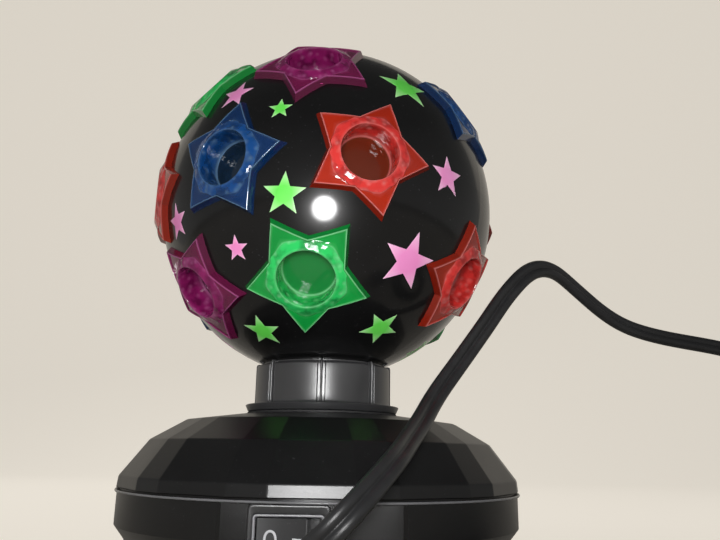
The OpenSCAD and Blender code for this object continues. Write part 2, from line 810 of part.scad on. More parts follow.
module switch_terminals() color(brass) for (k = [-1:1]) {
    translate([switch_x + 6 * k - terminal_t / 2, panel_y + body_depth, switch_z - terminal_w / 2])
        cube([terminal_t, terminal_l, terminal_w]);
}

module rocker() color(dark) translate([switch_x, pin_y, switch_z - rocker_h / 2]) rotate([0, 0, -rocker_turn]) {
    top = rocker_pin_depth * cos(rocker_turn) + sqrt(pow(rocker_r, 2) - pow(rocker_pin_depth, 2)) * sin(rocker_turn);
    sag = 0.6;
    half = sqrt(rocker_r * rocker_r - top * top);
    dip_r = (half * half + sag * sag) / 2 / sag;
    difference() {
        intersection() {
            cylinder(r = rocker_r, h = rocker_h);
            linear_extrude(rocker_h) polygon([[-3.2, 1.6], [-9.4, -6.5], [-9.4, -top], [9.4, -top], [9.4, -6.5],
                [3.2, 1.6]]);
        }
        translate([0, sag - top - dip_r, -reach]) cylinder(r = dip_r, h = rocker_h + 2 * reach, $fn = 180);
    }
    cylinder(r = 2.4, h = rocker_h);
    translate([0, 0, side_gap - pin_l]) cylinder(r = pin_r, h = rocker_h + 2 * (pin_l - side_gap));
}

// Strain relief: a flange outside the panel, a neck through it, a lock ring behind it and a tapered sleeve
module strain_relief() color(rubber) translate([relief_x, panel_y, relief_z]) {
    rotate([90, 0, 0]) {
        cylinder(r = relief_flange_r, h = relief_flange_t);
        translate([0, 0, -wall - reach]) cylinder(r = relief_hole_r - seat, h = wall + reach + melt);
        translate([0, 0, -wall - relief_lock_t]) cylinder(r = relief_hole_r + relief_lock, h = relief_lock_t);
    }
    difference() {
        translate([0, -relief_flange_t, 0]) along(relief_way) translate([0, 0, -relief_root])
            cylinder(r1 = relief_r, r2 = relief_tip_r, h = relief_l + relief_root);
        translate([-base_r, 0, -relief_z]) cube(base_d);
    }
}

// Turns a child's Z axis to a direction
module along(way) {
    w = unit(way);
    rotate([0, acos(w.z), atan2(w.y, w.x)]) children();
}

// Cord: points half way along each stretch follow the curve through the four points around it
function between(p, i) = let (n = len(p), a = p[max(0, i - 1)], b = p[i], c = p[i + 1], d = p[min(n - 1, i + 2)])
    (9 * (b + c) - a - d) / 16;
cord_points = [for (i = [0:len(route) - 1]) each i < len(route) - 1 ? [route[i], between(route, i)] : [route[i]]];
cord_ways = [for (i = [0:len(cord_points) - 1]) i == 0 ? unit(relief_way)
    : unit(cord_points[min(i + 1, len(cord_points) - 1)] - cord_points[i - 1])];
cord_sides = [for (i = 0, s = carried(cord_side, cord_ways[0]); i < len(cord_ways);
    i = i + 1, s = i < len(cord_ways) ? carried(s, cord_ways[i]) : s) s];
cord_section = [[0.5, 0.2], [0.36, 0.5], [-0.36, 0.5], [-0.5, 0.2], [-0.5, -0.2], [-0.36, -0.5], [0.36, -0.5],
    [0.5, -0.2]];

module power_cord() color(rubber) {
    skin([for (i = [0:len(cord_points) - 1]) let (s = cord_sides[i], t = cross(cord_ways[i], s))
        [for (q = cord_section) cord_points[i] + q.x * cord_w * s + q.y * cord_t * t]]);
}

module cord_coil() color(rubber) translate([coil_x, coil_y, 0]) {
    half = coil_rows * cord_w / 2;
    high = coil_layers * cord_t;
    round = cord_t / 2;
    rotate_extrude() translate([coil_r, 0]) polygon([[round - half, 0], [half - round, 0], [half, round],
        [half, high - round], [half - round, high], [round - half, high], [-half, high - round], [-half, round]]);
}

module plug_body() color(rubber) translate([plug_x, plug_y, plug_t / 2]) {
    linear_extrude(plug_t, center = true) polygon([[0, -5.5], [0, 5.5], [-7, plug_w / 2], [2 - plug_l, plug_w / 2],
        [-plug_l, plug_w / 2 - 2], [-plug_l, 2 - plug_w / 2], [2 - plug_l, -plug_w / 2], [-7, -plug_w / 2]]);
    rotate([0, 90, 0]) translate([0, 0, -melt]) cylinder(r1 = 5.4, r2 = 3.6, h = plug_relief_l + melt);
}

module plug_blades() color(brass) for (side = [-1, 1])
    translate([plug_x - plug_l - blade_l, plug_y + side * blade_gap / 2 - blade_t / 2, (plug_t - blade_w) / 2])
        cube([blade_l, blade_t, blade_w]);

lower_housing();
rubber_feet();
cover_screws();
top_cover();
thrust_washer();
lamp_stem();
stem_nuts();
lamp_socket();
socket_shell();
bulb_cap();
bulb_glass();
gear_motor();
motor_screws();
switch_body();
switch_terminals();
strain_relief();
power_cord();
cord_coil();
plug_body();
plug_blades();
rocker();
collar();
ring_gear();
gear_clip();
globe_front();
globe_rear();
drive_pinion();
motor_shaft();
star_lens(0);  // lens_01
star_lens(1);  // lens_02
star_lens(2);  // lens_03
star_lens(3);  // lens_04
star_lens(4);  // lens_05
star_lens(5);  // lens_06
star_lens(6);  // lens_07
star_lens(7);  // lens_08
star_lens(8);  // lens_09
star_lens(9);  // lens_10
star_lens(10);  // lens_11
star_lens(11);  // lens_12
star_lens(12);  // lens_13
star_lens(13);  // lens_14
star_lens(14);  // lens_15
star_lens(15);  // lens_16
star_lens(16);  // lens_17
star_lens(17);  // lens_18
star_lens(18);  // lens_19
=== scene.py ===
# Party lamp with a turning globe: its looks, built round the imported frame.
# Sizes are in millimetres and become metres where a mesh is made. The stage and its lights are in metres.
import json
import math
import bpy
import numpy as np
from mathutils import Matrix


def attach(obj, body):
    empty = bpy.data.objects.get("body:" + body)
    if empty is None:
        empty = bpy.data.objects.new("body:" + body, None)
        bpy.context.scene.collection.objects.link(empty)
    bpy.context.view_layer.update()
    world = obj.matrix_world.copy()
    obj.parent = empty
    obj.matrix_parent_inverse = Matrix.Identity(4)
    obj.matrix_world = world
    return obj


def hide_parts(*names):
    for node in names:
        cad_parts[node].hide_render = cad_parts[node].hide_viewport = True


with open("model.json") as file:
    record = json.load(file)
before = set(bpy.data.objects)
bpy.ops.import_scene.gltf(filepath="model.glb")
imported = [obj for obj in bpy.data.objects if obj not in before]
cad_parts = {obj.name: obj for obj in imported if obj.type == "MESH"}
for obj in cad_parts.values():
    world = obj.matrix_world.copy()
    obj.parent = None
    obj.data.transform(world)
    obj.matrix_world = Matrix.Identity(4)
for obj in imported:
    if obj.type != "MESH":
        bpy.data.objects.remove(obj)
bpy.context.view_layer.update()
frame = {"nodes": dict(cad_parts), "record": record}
nodes = frame["nodes"]
print("frame loaded:", len(nodes), "nodes")

mm = 0.001
frontAngle = 270  # degrees round the lamp's axis, from +X to its front
scene = bpy.context.scene
scene.view_settings.view_transform = "Standard"


def unit(v):
    # Each vector divided by its own length.
    return v / np.linalg.norm(v, axis=-1, keepdims=True)


def smoothStep(t):
    # Ease from 0 to 1: three t squared less two t cubed, held at both ends.
    t = np.clip(t, 0, 1)
    return t * t * (3 - 2 * t)


def fullTurn(count):
    # Even angles once round, in radians.
    return np.arange(count) / count * 2 * math.pi


def aroundAxis(radius, angle, height):
    # Points at a radius, an angle and a height about the upright axis.
    radius, angle, height = np.broadcast_arrays(radius, angle, height)
    return np.stack([radius * np.cos(angle), radius * np.sin(angle), height], -1)


def runAlong(path):
    # Way travelled from a path's first point to each of its points.
    return np.r_[0, np.cumsum(np.linalg.norm(np.diff(path, axis=0), axis=1))]


def axesMatrix(x, y, z, place):
    # Transform whose columns are three axes and a place.
    m = np.eye(4)
    m[:3] = np.stack([x, y, z, place], 1)
    return Matrix(m.tolist())


def splineThrough(points, count):
    # Natural cubic curve through points, by chord length, at even steps. The bends m at the points solve one
    # equation each, and a stretch blends its two ends and their bends.
    p = np.asarray(points, float)
    t = runAlong(p)
    h = np.diff(t)
    n = len(p)
    a = np.eye(n)
    k = np.arange(1, n - 1)
    a[k, k - 1], a[k, k], a[k, k + 1] = h[:-1], 2 * (h[:-1] + h[1:]), h[1:]
    b = np.zeros_like(p)
    b[1:-1] = 6 * np.diff(np.diff(p, axis=0) / h[:, None], axis=0)
    m = np.linalg.solve(a, b)
    s = np.linspace(0, t[-1], count)
    i = np.clip(np.searchsorted(t, s) - 1, 0, n - 2)
    u, v, w = (t[i + 1] - s)[:, None], (s - t[i])[:, None], h[i][:, None]
    bent = (m[i] * u ** 3 + m[i + 1] * v ** 3) / (6 * w)
    return bent + (p[i] / w - m[i] * w / 6) * u + (p[i + 1] / w - m[i + 1] * w / 6) * v


def sweep(path, side, profile, scale=1.0):
    # Profile carried along a path: point = path + scale * (x * side + y * (way across side)).
    way = unit(np.gradient(path, axis=0))
    side = unit(side - (side * way).sum(1, keepdims=True) * way)
    up = np.cross(way, side)
    scale = np.broadcast_to(scale, len(path))[:, None, None]
    return path[:, None] + scale * (profile[None, :, :1] * side[:, None] + profile[None, :, 1:] * up[:, None])


def gridFaces(rows, columns, closeRows=False, closeColumns=True):
    # Quads between neighbours of a grid of points that are numbered row by row.
    i = np.arange(rows if closeRows else rows - 1)[:, None]
    j = np.arange(columns if closeColumns else columns - 1)[None, :]
    a, b = i * columns + j, i * columns + (j + 1) % columns
    c, d = (i + 1) % rows * columns + (j + 1) % columns, (i + 1) % rows * columns + j
    return np.stack([a, b, c, d], -1).reshape(-1, 4)


def shellFaces(rows, columns, flip=False):
    # Quads between rings, and one many-sided face on the first and the last ring.
    sides = gridFaces(rows, columns)
    lids = np.stack([np.arange(columns)[::-1], (rows - 1) * columns + np.arange(columns)])
    return [sides[:, ::-1], lids[:, ::-1]] if flip else [sides, lids]


def addObject(name, data):
    # New object in the scene, at the origin.
    obj = bpy.data.objects.new(name, data)
    scene.collection.objects.link(obj)
    return obj


def makeMesh(name, points, faces, smoothAngle=35, attributes=None):
    # New object from points in metres and a list of face arrays. Edges sharper than the angle stay crisp.
    mesh = bpy.data.meshes.new(name)
    mesh.from_pydata(points.reshape(-1, 3).tolist(), [], [face for block in faces for face in block.tolist()])
    for key, values in (attributes or {}).items():
        layer = mesh.attributes.new(key, "FLOAT_COLOR", "POINT")
        colours = np.ones((len(mesh.vertices), 4), np.float32)
        colours[:, :values.shape[1]] = values
        layer.data.foreach_set("color", colours.ravel())
    mesh.shade_smooth()
    mesh.set_sharp_from_angle(angle=math.radians(smoothAngle))
    return addObject(name, mesh)


def tubeObject(name, grid, smoothAngle):
    # Closed tube from a grid of rings, with a fan of triangles round a middle point on each end.
    rows, columns = grid.shape[:2]
    points = np.concatenate([grid.reshape(-1, 3), [grid[0].mean(0), grid[-1].mean(0)]])
    here = np.arange(columns)
    there = (here + 1) % columns
    lastRow = (rows - 1) * columns
    near = np.stack([there, here, np.full(columns, rows * columns)], -1)
    far = np.stack([lastRow + here, lastRow + there, np.full(columns, rows * columns + 1)], -1)
    return makeMesh(name, points, [gridFaces(rows, columns), near, far], smoothAngle)


def softEdges(obj, width, fromAngle):
    # Small round on every edge that is sharper than the angle.
    bevel = obj.modifiers.new("softEdges", "BEVEL")
    bevel.width, bevel.segments = width * mm, 3
    bevel.limit_method, bevel.angle_limit = "ANGLE", math.radians(fromAngle)
    bevel.harden_normals = True


camera = {
    "place": (7.27, -250.95, 42.8), "tiltUp": 14.618, "turnRight": 1.167, "roll": 1.003,  # angles in degrees
    "lens": 35.0, "sensor": 36.0, "nearest": 0.01, "farthest": 20.0}  # the last two in metres


def addCamera(c):
    # Turn and tilt give the way ahead, and the picture's right and up are rolled about it.
    turn, tilt, roll = (math.radians(c[key]) for key in ("turnRight", "tiltUp", "roll"))
    ahead = np.array([math.sin(turn) * math.cos(tilt), math.cos(turn) * math.cos(tilt), math.sin(tilt)])
    level = np.array([math.cos(turn), -math.sin(turn), 0.0])
    upright = np.cross(level, ahead)
    right = math.cos(roll) * level + math.sin(roll) * upright
    up = math.cos(roll) * upright - math.sin(roll) * level
    data = bpy.data.cameras.new("lampCamera")
    data.lens, data.sensor_width = c["lens"], c["sensor"]
    data.clip_start, data.clip_end = c["nearest"], c["farthest"]
    scene.camera = addObject("lampCamera", data)
    scene.camera.matrix_world = axesMatrix(right, up, -ahead, np.array(c["place"]) * mm)


addCamera(camera)

cord = {
    "width": 6.4, "thick": 3.2, "length": 1.8,  # the length in metres
    "lobe": 1.62, "open": 150, "lobeSamples": 17,  # lobe's radius, its arc to each side in degrees, its points
    "wideWay": (1.0, 0.0, -1.0),  # way in which the flat cord is wide where it leaves the lamp
    "start": [[-14, -62.0, 8.0], [-14, -64.2, 8.1], [-13.0, -67.6, 9.3]],
    "route": [[-3.99, -79.04, 16.61], [-0.5, -83, 20.2], [4, -86, 24.5], [9.5, -85.5, 30], [15, -79.5, 35.5],
              [21, -69, 41.5], [25.5, -57, 46.5], [30, -46, 52], [33.5, -38, 57], [37.5, -32, 62.5],
              [42.5, -28, 69], [48.5, -25.5, 77], [55, -24, 86], [60, -22.5, 93], [65, -21, 99],
              [70.5, -18, 104], [76.5, -14, 106.5], [82.5, -10, 106], [88, -7, 103], [94, -5, 98.5],
              [101, -3, 93.5], [109, -2, 89], [118, -2, 86], [131, -2, 83.5], [145, -4, 80.5], [157, -9, 75],
              [167, -16, 66.5], [175, -24, 55], [181, -32, 41], [185, -41, 27], [186.5, -50, 15],
              [186.4, -59, 6.5]],
    "leadSamples": 420, "tailSamples": 40,
    "levelFrom": 0.72, "levelOver": 0.27,  # shares of the lead: where its wide way turns level, over how much
    "coilMiddle": (140, -52), "inner": 32.8, "outer": 39.2,  # the two columns of the coil, by radius
    "windIn": [(-20, 44.6, 3.4), (-34, 41.4, 1.7)],  # degrees, radius and height, clockwise from above
    "windFrom": -48, "change": 24, "coilStep": 3.0,  # first stay, move between stays and step, in degrees
    # stays: degrees wound, column and layer
    "stays": [(159, "outer", 0), (312, "inner", 0), (312, "inner", 1), (312, "outer", 1), (242, "outer", 2),
              (312, "inner", 2), (312, "inner", 3), (48, "outer", 3)],
    "windOut": (-2244, 39.2, 8.6),
    "sunk": (0, 140), "sunkEase": 30,  # degrees between which nothing lies under the outer column
    "tail": [[128, -90.2, 8.2], [118, -88.4, 7.7], [108, -88, 6.7], [97, -88, 6.5]],
}


def coilKnots(c):
    # Degrees wound, radius and height at both ends of each stay, with a short move from one stay to the next.
    knots = list(c["windIn"])
    angle = c["windFrom"]
    for degrees, column, layer in c["stays"]:
        height = c["thick"] * (layer + 0.5)
        knots += [(angle, c[column], height), (angle - degrees, c[column], height)]
        angle -= degrees + c["change"]
    return np.array(knots + [c["windOut"]], float)


def coilLine(c):
    # Point on the coil: radius and height ease from knot to knot of the angle. Where no turn lies under the
    # outer column, the column sinks by one thickness. The second result points outwards from the middle.
    knots = coilKnots(c)
    a = np.arange(knots[0, 0], knots[-1, 0], -c["coilStep"])
    i = np.clip(np.searchsorted(-knots[:, 0], -a, side="right") - 1, 0, len(knots) - 2)
    t = smoothStep((a - knots[i, 0]) / (knots[i + 1, 0] - knots[i, 0]))
    r = knots[i, 1] * (1 - t) + knots[i + 1, 1] * t
    z = knots[i, 2] * (1 - t) + knots[i + 1, 2] * t
    around, (first, last) = np.mod(a, 360), c["sunk"]
    free = smoothStep((around - first) / c["sunkEase"]) * smoothStep((last - around) / c["sunkEase"])
    outermost = smoothStep((r - c["inner"]) / (c["outer"] - c["inner"]))
    z = z - c["thick"] * free * outermost * (z > c["thick"])
    x, y = np.cos(np.radians(a)), np.sin(np.radians(a))
    line = np.stack([c["coilMiddle"][0] + r * x, c["coilMiddle"][1] + r * y, z], 1)
    return line, np.stack([x, y, 0 * x], 1)


def cordPath(c):
    # Curve through the chosen points, then the coil, then the tail, with the way in which the cord is wide at
    # each point: carried along the lead without a twist, and turned level before the coil.
    coil, outwards = coilLine(c)
    lead = splineThrough(c["start"] + c["route"] + coil[:2].tolist(), c["leadSamples"])[:-1]
    tail = splineThrough(coil[-2:].tolist() + c["tail"], c["tailSamples"])[1:]
    path = np.concatenate([lead, coil[2:-2], tail])
    way = unit(np.gradient(path, axis=0))
    side = np.zeros_like(path)
    side[0] = unit(np.cross(way[0], np.cross(c["wideWay"], way[0])))
    for k in range(1, len(path)):
        side[k] = unit(side[k - 1] - side[k - 1] @ way[k] * way[k])
    n = len(lead)
    tailSide = np.repeat([[0.0, -1.0, 0.0]], len(tail), 0)
    level = np.concatenate([np.repeat(outwards[:1], n, 0), outwards[2:-2], tailSide])
    level = unit(level - (level * way).sum(1, keepdims=True) * way)
    angle = np.arctan2((np.cross(side, level) * way).sum(1), (side * level).sum(1))
    k = np.arange(len(path))
    share = smoothStep((k - c["levelFrom"] * n) / (c["levelOver"] * n))
    turn = np.where(k < n, angle[n - 1] * share, angle)[:, None]
    return path, side * np.cos(turn) + np.cross(way, side) * np.sin(turn)


def cordProfile(c):
    # Flat twin section: two round lobes, each most of a circle, which meet in a groove on both faces.
    t = np.radians(np.linspace(-c["open"], c["open"], c["lobeSamples"]))
    x = c["width"] / 2 - c["lobe"] + c["lobe"] * np.cos(t)
    y = c["thick"] / 2 * np.sin(t)
    return np.stack([np.r_[x, -x], np.r_[y, -y]], 1)


def makeCord(c):
    # Twin section carried along the path. The cord's own map goes round the section and, in metres, along it.
    path, side = cordPath(c)
    grid = sweep(path, side, cordProfile(c))
    obj = tubeObject("powerCord", grid * mm, smoothAngle=60)
    uv = obj.data.uv_layers.new(name="along")
    run = runAlong(path) * mm
    columns = grid.shape[1]
    index = np.zeros(len(obj.data.loops), int)
    obj.data.loops.foreach_get("vertex_index", index)
    row, column = np.minimum(index // columns, len(path) - 1), index % columns
    uv.data.foreach_set("uv", np.stack([column / columns, run[row]], 1).astype(np.float32).ravel())
    return obj, path


powerCord, cordLine = makeCord(cord)
print("cord made:", round(float(runAlong(cordLine)[-1]) * mm, 3), "m")

relief = {
    "flange": 4.6, "flangeLength": 2.0, "chamfer": 0.35, "root": 4.35, "tip": 3.6, "length": 23.2,
    "tipRound": (0.05, 0.16, 0.36, 0.7),  # radius lost on the last rings
    # slots between the ribs: their depth, start and ease in the wave, and the ribbed stretch of the sleeve
    "ribs": 7, "ribCut": 0.45, "slotFrom": 0.62, "slotEase": 0.12, "ribbed": (0.08, 0.95),
    "samples": 240, "around": 48}


def ribSlots(share, c):
    # 1 in each slot and 0 on each rib: a triangle wave along the sleeve, cut off at a level.
    wave = np.abs(np.mod(share * (c["ribs"] + 1), 1) - 0.5) * 2
    ribbed = (share > c["ribbed"][0]) * (share < c["ribbed"][1])
    return smoothStep((wave - c["slotFrom"]) / c["slotEase"]) * ribbed


def makeRelief(c):
    # Round sleeve along the cord's start: radius falls to the tip and dips at each slot between the ribs.
    start = splineThrough(cord["start"] + cord["route"][:2], c["samples"])
    covered = runAlong(start) <= c["length"]
    path, run = start[covered], runAlong(start)[covered]
    share = (run - c["flangeLength"]) / (run[-1] - c["flangeLength"])
    radius = c["root"] + (c["tip"] - c["root"]) * share - c["ribCut"] * ribSlots(share, c)
    radius = np.where(run < c["flangeLength"], c["flange"], radius)
    radius = np.where(run < c["chamfer"], c["flange"] - c["chamfer"] + run, radius)
    radius[-len(c["tipRound"]):] -= c["tipRound"]
    t = fullTurn(c["around"])
    side = np.repeat([cord["wideWay"]], len(path), 0)
    grid = sweep(path, side, np.stack([np.cos(t), np.sin(t)], 1), radius)
    return tubeObject("strainRelief", grid * mm, smoothAngle=50)


plug = {
    "length": 26.0, "back": (92.5, -88.0, 6.5),  # block without its neck, and the place where the neck starts
    "stations": [0, .012, .04, .09, .16, .28, .30, .32, .34, .40, .42, .44, .46, .52, .54, .56, .58, .66, .74,
                 .82, .90, .96, 1.0],
    # share of the length, with half the width and half the thickness there
    "halfWidth": [(0, 8.8), (.012, 10.4), (.04, 11.4), (.1, 12.0), (.66, 12.0), (.82, 9.4), (.96, 6.2),
                  (1, 5.3)],
    "halfThick": [(0, 4.6), (.012, 5.6), (.04, 6.1), (.1, 6.5), (.66, 6.5), (.9, 5.7), (1, 5.0)],
    "grip": [.30, .32, .42, .44, .54, .56], "gripCut": 0.7,
    "corner": 0.5, "roundFrom": 0.7,  # power that squares the section, share where it starts to turn round
    "neckLength": 22.0, "neckRoot": 5.3, "neckFall": 1.6, "neckSamples": 45,
    "ribs": 8, "ribCut": 0.4, "slotFrom": 0.6, "slotEase": 0.12, "ribbed": (0.1, 0.94),
    "around": 56}


def makePlug(c):
    # Soft block and ribbed neck in one: a section carried back from the blades' face, with width and thickness
    # by place, which turns from a rounded rectangle to a circle.
    s = np.array(c["stations"])
    halfWidth = np.interp(s, *zip(*c["halfWidth"])) - c["gripCut"] * np.isin(s, c["grip"])
    halfThick = np.interp(s, *zip(*c["halfThick"]))
    neck = np.linspace(0, 1, c["neckSamples"] + 1)[1:]
    r = c["neckRoot"] - c["neckFall"] * neck - c["ribCut"] * ribSlots(neck, c)
    x = c["back"][0] + np.r_[(s - 1) * c["length"], neck * c["neckLength"]]
    path = np.stack([x, np.full(len(x), c["back"][1]), np.full(len(x), c["back"][2])], 1)
    wide, thick = np.r_[halfWidth, r][:, None, None], np.r_[halfThick, r][:, None, None]
    t = fullTurn(c["around"])
    circle = np.stack([np.cos(t), np.sin(t)], 1)
    square = np.sign(circle) * np.abs(circle) ** c["corner"]
    share = (x - c["back"][0]) / c["length"] + 1
    mix = smoothStep((share - c["roundFrom"]) / (1 - c["roundFrom"]))[:, None, None]
    section = square * (1 - mix) + circle * mix
    across, up = np.array([0.0, 1.0, 0.0]), np.array([0.0, 0.0, 1.0])
    grid = path[:, None] + section[..., :1] * wide * across + section[..., 1:] * thick * up
    return tubeObject("plugBody", grid * mm, smoothAngle=40)


strainRelief = makeRelief(relief)
plugBody = makePlug(plug)
for piece, stoodFor in ((powerCord, ("power_cord", "cord_coil")), (strainRelief, ("strain_relief",)),
                        (plugBody, ("plug_body",))):
    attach(piece, "base")
    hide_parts(*stoodFor)
print("relief and plug made")

cover = {
    "facets": 12, "share": 0.667,  # wide facets round a ring, and the share of the ring that they take
    "bevel": 0.4, "bevelFrom": 4, "crispFrom": 3,  # round of the edges, angles where it and crisp edges start
    # radius and height of the corners: rim, band with its draft, two slopes, crown, hole, then back inside
    "corners": [[66.4, 31.1], [66.0, 34.7], [57.55, 45.9], [46.2, 52.5], [27.5, 55], [20.6, 55], [20.6, 52.8],
                [27.2, 52.8], [45.5, 50.2], [56.2, 44.3], [63.8, 34.2], [63.8, 31.1]]}


def makeCover(c):
    # Facets between rings of corners: the angles stay, so wide and narrow facets take turns round each ring.
    k = np.arange(c["facets"])[:, None]
    half = np.array([[-0.5, 0.5]]) * c["share"]
    angle = np.radians(frontAngle + (k + half) * 360 / c["facets"]).ravel()
    r, z = np.array(c["corners"], float).T
    points = aroundAxis(r[:, None], angle, z[:, None])
    faces = gridFaces(len(r), len(angle), closeRows=True)
    obj = makeMesh("facetedCover", points * mm, [faces], smoothAngle=c["crispFrom"])
    softEdges(obj, c["bevel"], c["bevelFrom"])
    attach(obj, "base")
    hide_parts("top_cover")
    return obj


facetedCover = makeCover(cover)

rim = {"radius": 66.32, "height": 30.3, "out": 0.42, "up": 0.36, "around": 480, "section": 14}


def makeRim(c):
    # Rounded bead on the housing's lip: an oval carried round a circle.
    t = fullTurn(c["section"])
    points = aroundAxis(c["radius"] + c["out"] * np.cos(t), fullTurn(c["around"])[:, None],
                        c["height"] + c["up"] * np.sin(t))
    faces = gridFaces(c["around"], c["section"], closeRows=True)[:, ::-1]
    obj = makeMesh("rimBead", points * mm, [faces], smoothAngle=60)
    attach(obj, "base")
    return obj


rimBead = makeRim(rim)
print("cover and rim made")

collar = {
    "ribs": 8, "ribHalf": 0.42, "groove": 0.7, "grooveEdge": 1.15, "edge": 0.3, "wall": 23.4,
    # samples round the wall: on a rib, in the groove, on its edge, and from, to and count between two ribs
    "ribSamples": 17, "grooveSamples": 4, "grooveInset": 0.12, "edgeSamples": 6, "between": (2.0, 16.4, 18),
    # plain rows: radius and height. Ribbed rows: radius of the wall, height, radius of the ribs, lift of their
    # tops, share of the grooves
    "rows": [[20.4, 48], [20.4, 55.8], [25.5, 55.8], [25.8, 55.95], [25.95, 56.2], [26.62, 57.65],
             [26.7, 57.87], [26.62, 58.05], [26.35, 58.15], [24.6, 58.16], [23.9, 58.25, 24.2, 0, .3],
             [23.5, 58.6, 23.95, 0, .9], [23.4, 59.1, 23.85, 0, 1], [23.4, 61, 23.82, 0, 1],
             [23.4, 65, 23.82, 0, 1], [23.4, 69, 23.82, 0, 1], [23.4, 70.7, 23.82, .2, 1],
             [23.36, 71, 23.8, .5, 1], [23.18, 71.28, 23.72, .75, 1],
             [22.9, 71.46, 23.45, .9, .9], [22.5, 71.55, 22.9, .95, .6], [21.9, 71.57, 22.1, .9, .2],
             [21.4, 71.7, 21.5, .6, 0], [21.2, 71.95, 21.2, .4, 0], [21.2, 72.35], [20, 71.93], [19.8, 72],
             [19.8, 74.3], [23.2, 75.65], [23.2, 77.1], [18.6, 75.6], [18.6, 58.15], [16, 58.1], [16, 48]]}


def makeCollar(c):
    # Turned wall with ribs. Round the wall, s is the way from a rib: the rib is half an oval in s, the groove
    # beside it sinks by its depth and eases back to the wall.
    half, inset = c["ribHalf"], c["grooveInset"]
    fine = np.r_[np.linspace(-1, 1, c["ribSamples"]) * half,
                 np.linspace(half + inset, c["grooveEdge"] - inset, c["grooveSamples"]),
                 c["grooveEdge"] + np.linspace(0, c["edge"], c["edgeSamples"]), np.linspace(*c["between"])]
    step = 2 * math.pi * c["wall"] / c["ribs"]
    s = np.unique(np.round(np.concatenate([fine, step - fine[fine > half]]), 4))
    s = s[(s >= -half) & (s < step - half - 1e-6)]
    near = np.where(s > step / 2, s - step, s)
    ridge = np.sqrt(np.clip(1 - (near / half) ** 2, 0, 1))
    sink = c["groove"] * (1 - smoothStep((np.abs(near) - c["grooveEdge"]) / c["edge"]))
    turn = (s / step + np.arange(c["ribs"])[:, None]) * 2 * math.pi / c["ribs"]
    angle = (math.radians(frontAngle) + turn).ravel()
    ridge, sink = np.tile(ridge, c["ribs"]), np.tile(sink, c["ribs"])
    rows = [row if len(row) == 5 else [*row, row[0], 0, 0] for row in c["rows"]]
    wallRadius, height, ribRadius, lift, share = np.array(rows, float).T[..., None]
    r = (wallRadius - sink * share) * (1 - ridge) + ribRadius * ridge
    points = aroundAxis(r, angle, height + lift * ridge)
    faces = gridFaces(len(rows), len(angle), closeRows=True)
    obj = makeMesh("ribbedCollar", points * mm, [faces], smoothAngle=40)
    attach(obj, "globe")
    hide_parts("collar")
    return obj


ribbedCollar = makeCollar(collar)
print("collar made")

switch = {
    "middle": (-5.8, 21.3), "panelFace": -62.02, "samples": 12,
    "paintedHighlightRows": (5, 6, 7, 8, 9),  # rows of the bead that carry the painted highlight line
    # depth, half width, half height and corner radius: cavity, mouth, bead, face, outer edge, body
    "rows": [[11, .02, .02, .01], [11, 9.2, 5.35, .3], [.2, 9.2, 5.35, .3], [0, 8.4, 5.35, .3],
             [-1.5, 8.35, 5.35, .35], [-1.85, 8.4, 5.4, .4], [-2.1, 8.5, 5.5, .5], [-2.28, 8.68, 5.68, .65],
             [-2.3, 8.82, 5.82, .8], [-2.24, 9.0, 6.0, .95], [-2.1, 9.14, 6.14, 1.05], [-1.8, 9.3, 6.3, 1.1],
             [-1.98, 9.95, 7.75, 1.2], [-2.0, 10.15, 8.1, 1.2], [-1.9, 10.38, 8.36, 1.2],
             [-1.66, 10.48, 8.47, 1.2], [-1.4, 10.5, 8.5, 1.2], [0, 10.5, 8.5, 1.2], [.05, 9.7, 7.25, .6],
             [16, 9.7, 7.25, .6], [16, .02, .02, .01]]}


def roundedRing(halfX, halfZ, corner, samples):
    # Rounded rectangle: each corner is a quarter circle about its own middle.
    t = np.linspace(0, math.pi / 2, samples)[None] + np.arange(4)[:, None] * math.pi / 2
    signX, signZ = np.array([1, -1, -1, 1])[:, None], np.array([1, 1, -1, -1])[:, None]
    x = signX * (halfX - corner) + corner * np.cos(t)
    z = signZ * (halfZ - corner) + corner * np.sin(t)
    return x.ravel(), z.ravel()


def makeSwitchFrame(c):
    # Rounded rectangles by depth, from the cavity's floor out over the bezel's face and back along the body.
    x, z = np.array([roundedRing(*row[1:], c["samples"]) for row in c["rows"]]).transpose(1, 0, 2)
    y = c["panelFace"] + np.array(c["rows"], float)[:, :1] + 0 * x
    points = np.stack([c["middle"][0] + x, y, c["middle"][1] + z], -1)
    # The bead's rows get a painted highlight: a pale line standing in for light caught by the inner chamfer.
    pale = np.isin(np.arange(len(x)), c["paintedHighlightRows"])[:, None] + 0 * x
    obj = makeMesh("switchFrame", points * mm, shellFaces(*x.shape, flip=True), smoothAngle=38,
                   attributes={"paintedHighlightLine": np.repeat(pale.reshape(-1, 1), 3, 1)})
    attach(obj, "base")
    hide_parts("switch_body")
    return obj


switchFrame = makeSwitchFrame(switch)

rocker = {
    "pin": (-5.8, -59.02), "turn": -14.0, "low": 16.1, "high": 26.5, "bevel": 0.28, "bevelFrom": 30,
    # outline: front edge and half width, depth and radius of its hollow, radius of the ends about the pin
    "top": 6.777, "half": 6.514, "dip": 0.6, "dipRadius": 35.66, "radius": 9.4, "faceSamples": 25,
    "endTo": (6.79, -6.5), "endSamples": 4, "back": (3.2, 1.6)}


def turned(c, x, y, z):
    # Rocker's own place across, depth and height, turned about its pin into the lamp's frame.
    a = math.radians(c["turn"])
    return np.stack([c["pin"][0] + x * math.cos(a) - y * math.sin(a),
                     c["pin"][1] + x * math.sin(a) + y * math.cos(a), z + 0 * x], -1)


def dipDepth(c, x):
    # Depth of the hollow face: a circle's arc that lies deepest at the middle.
    return c["dip"] - c["top"] - c["dipRadius"] + np.sqrt(c["dipRadius"] ** 2 - x ** 2)


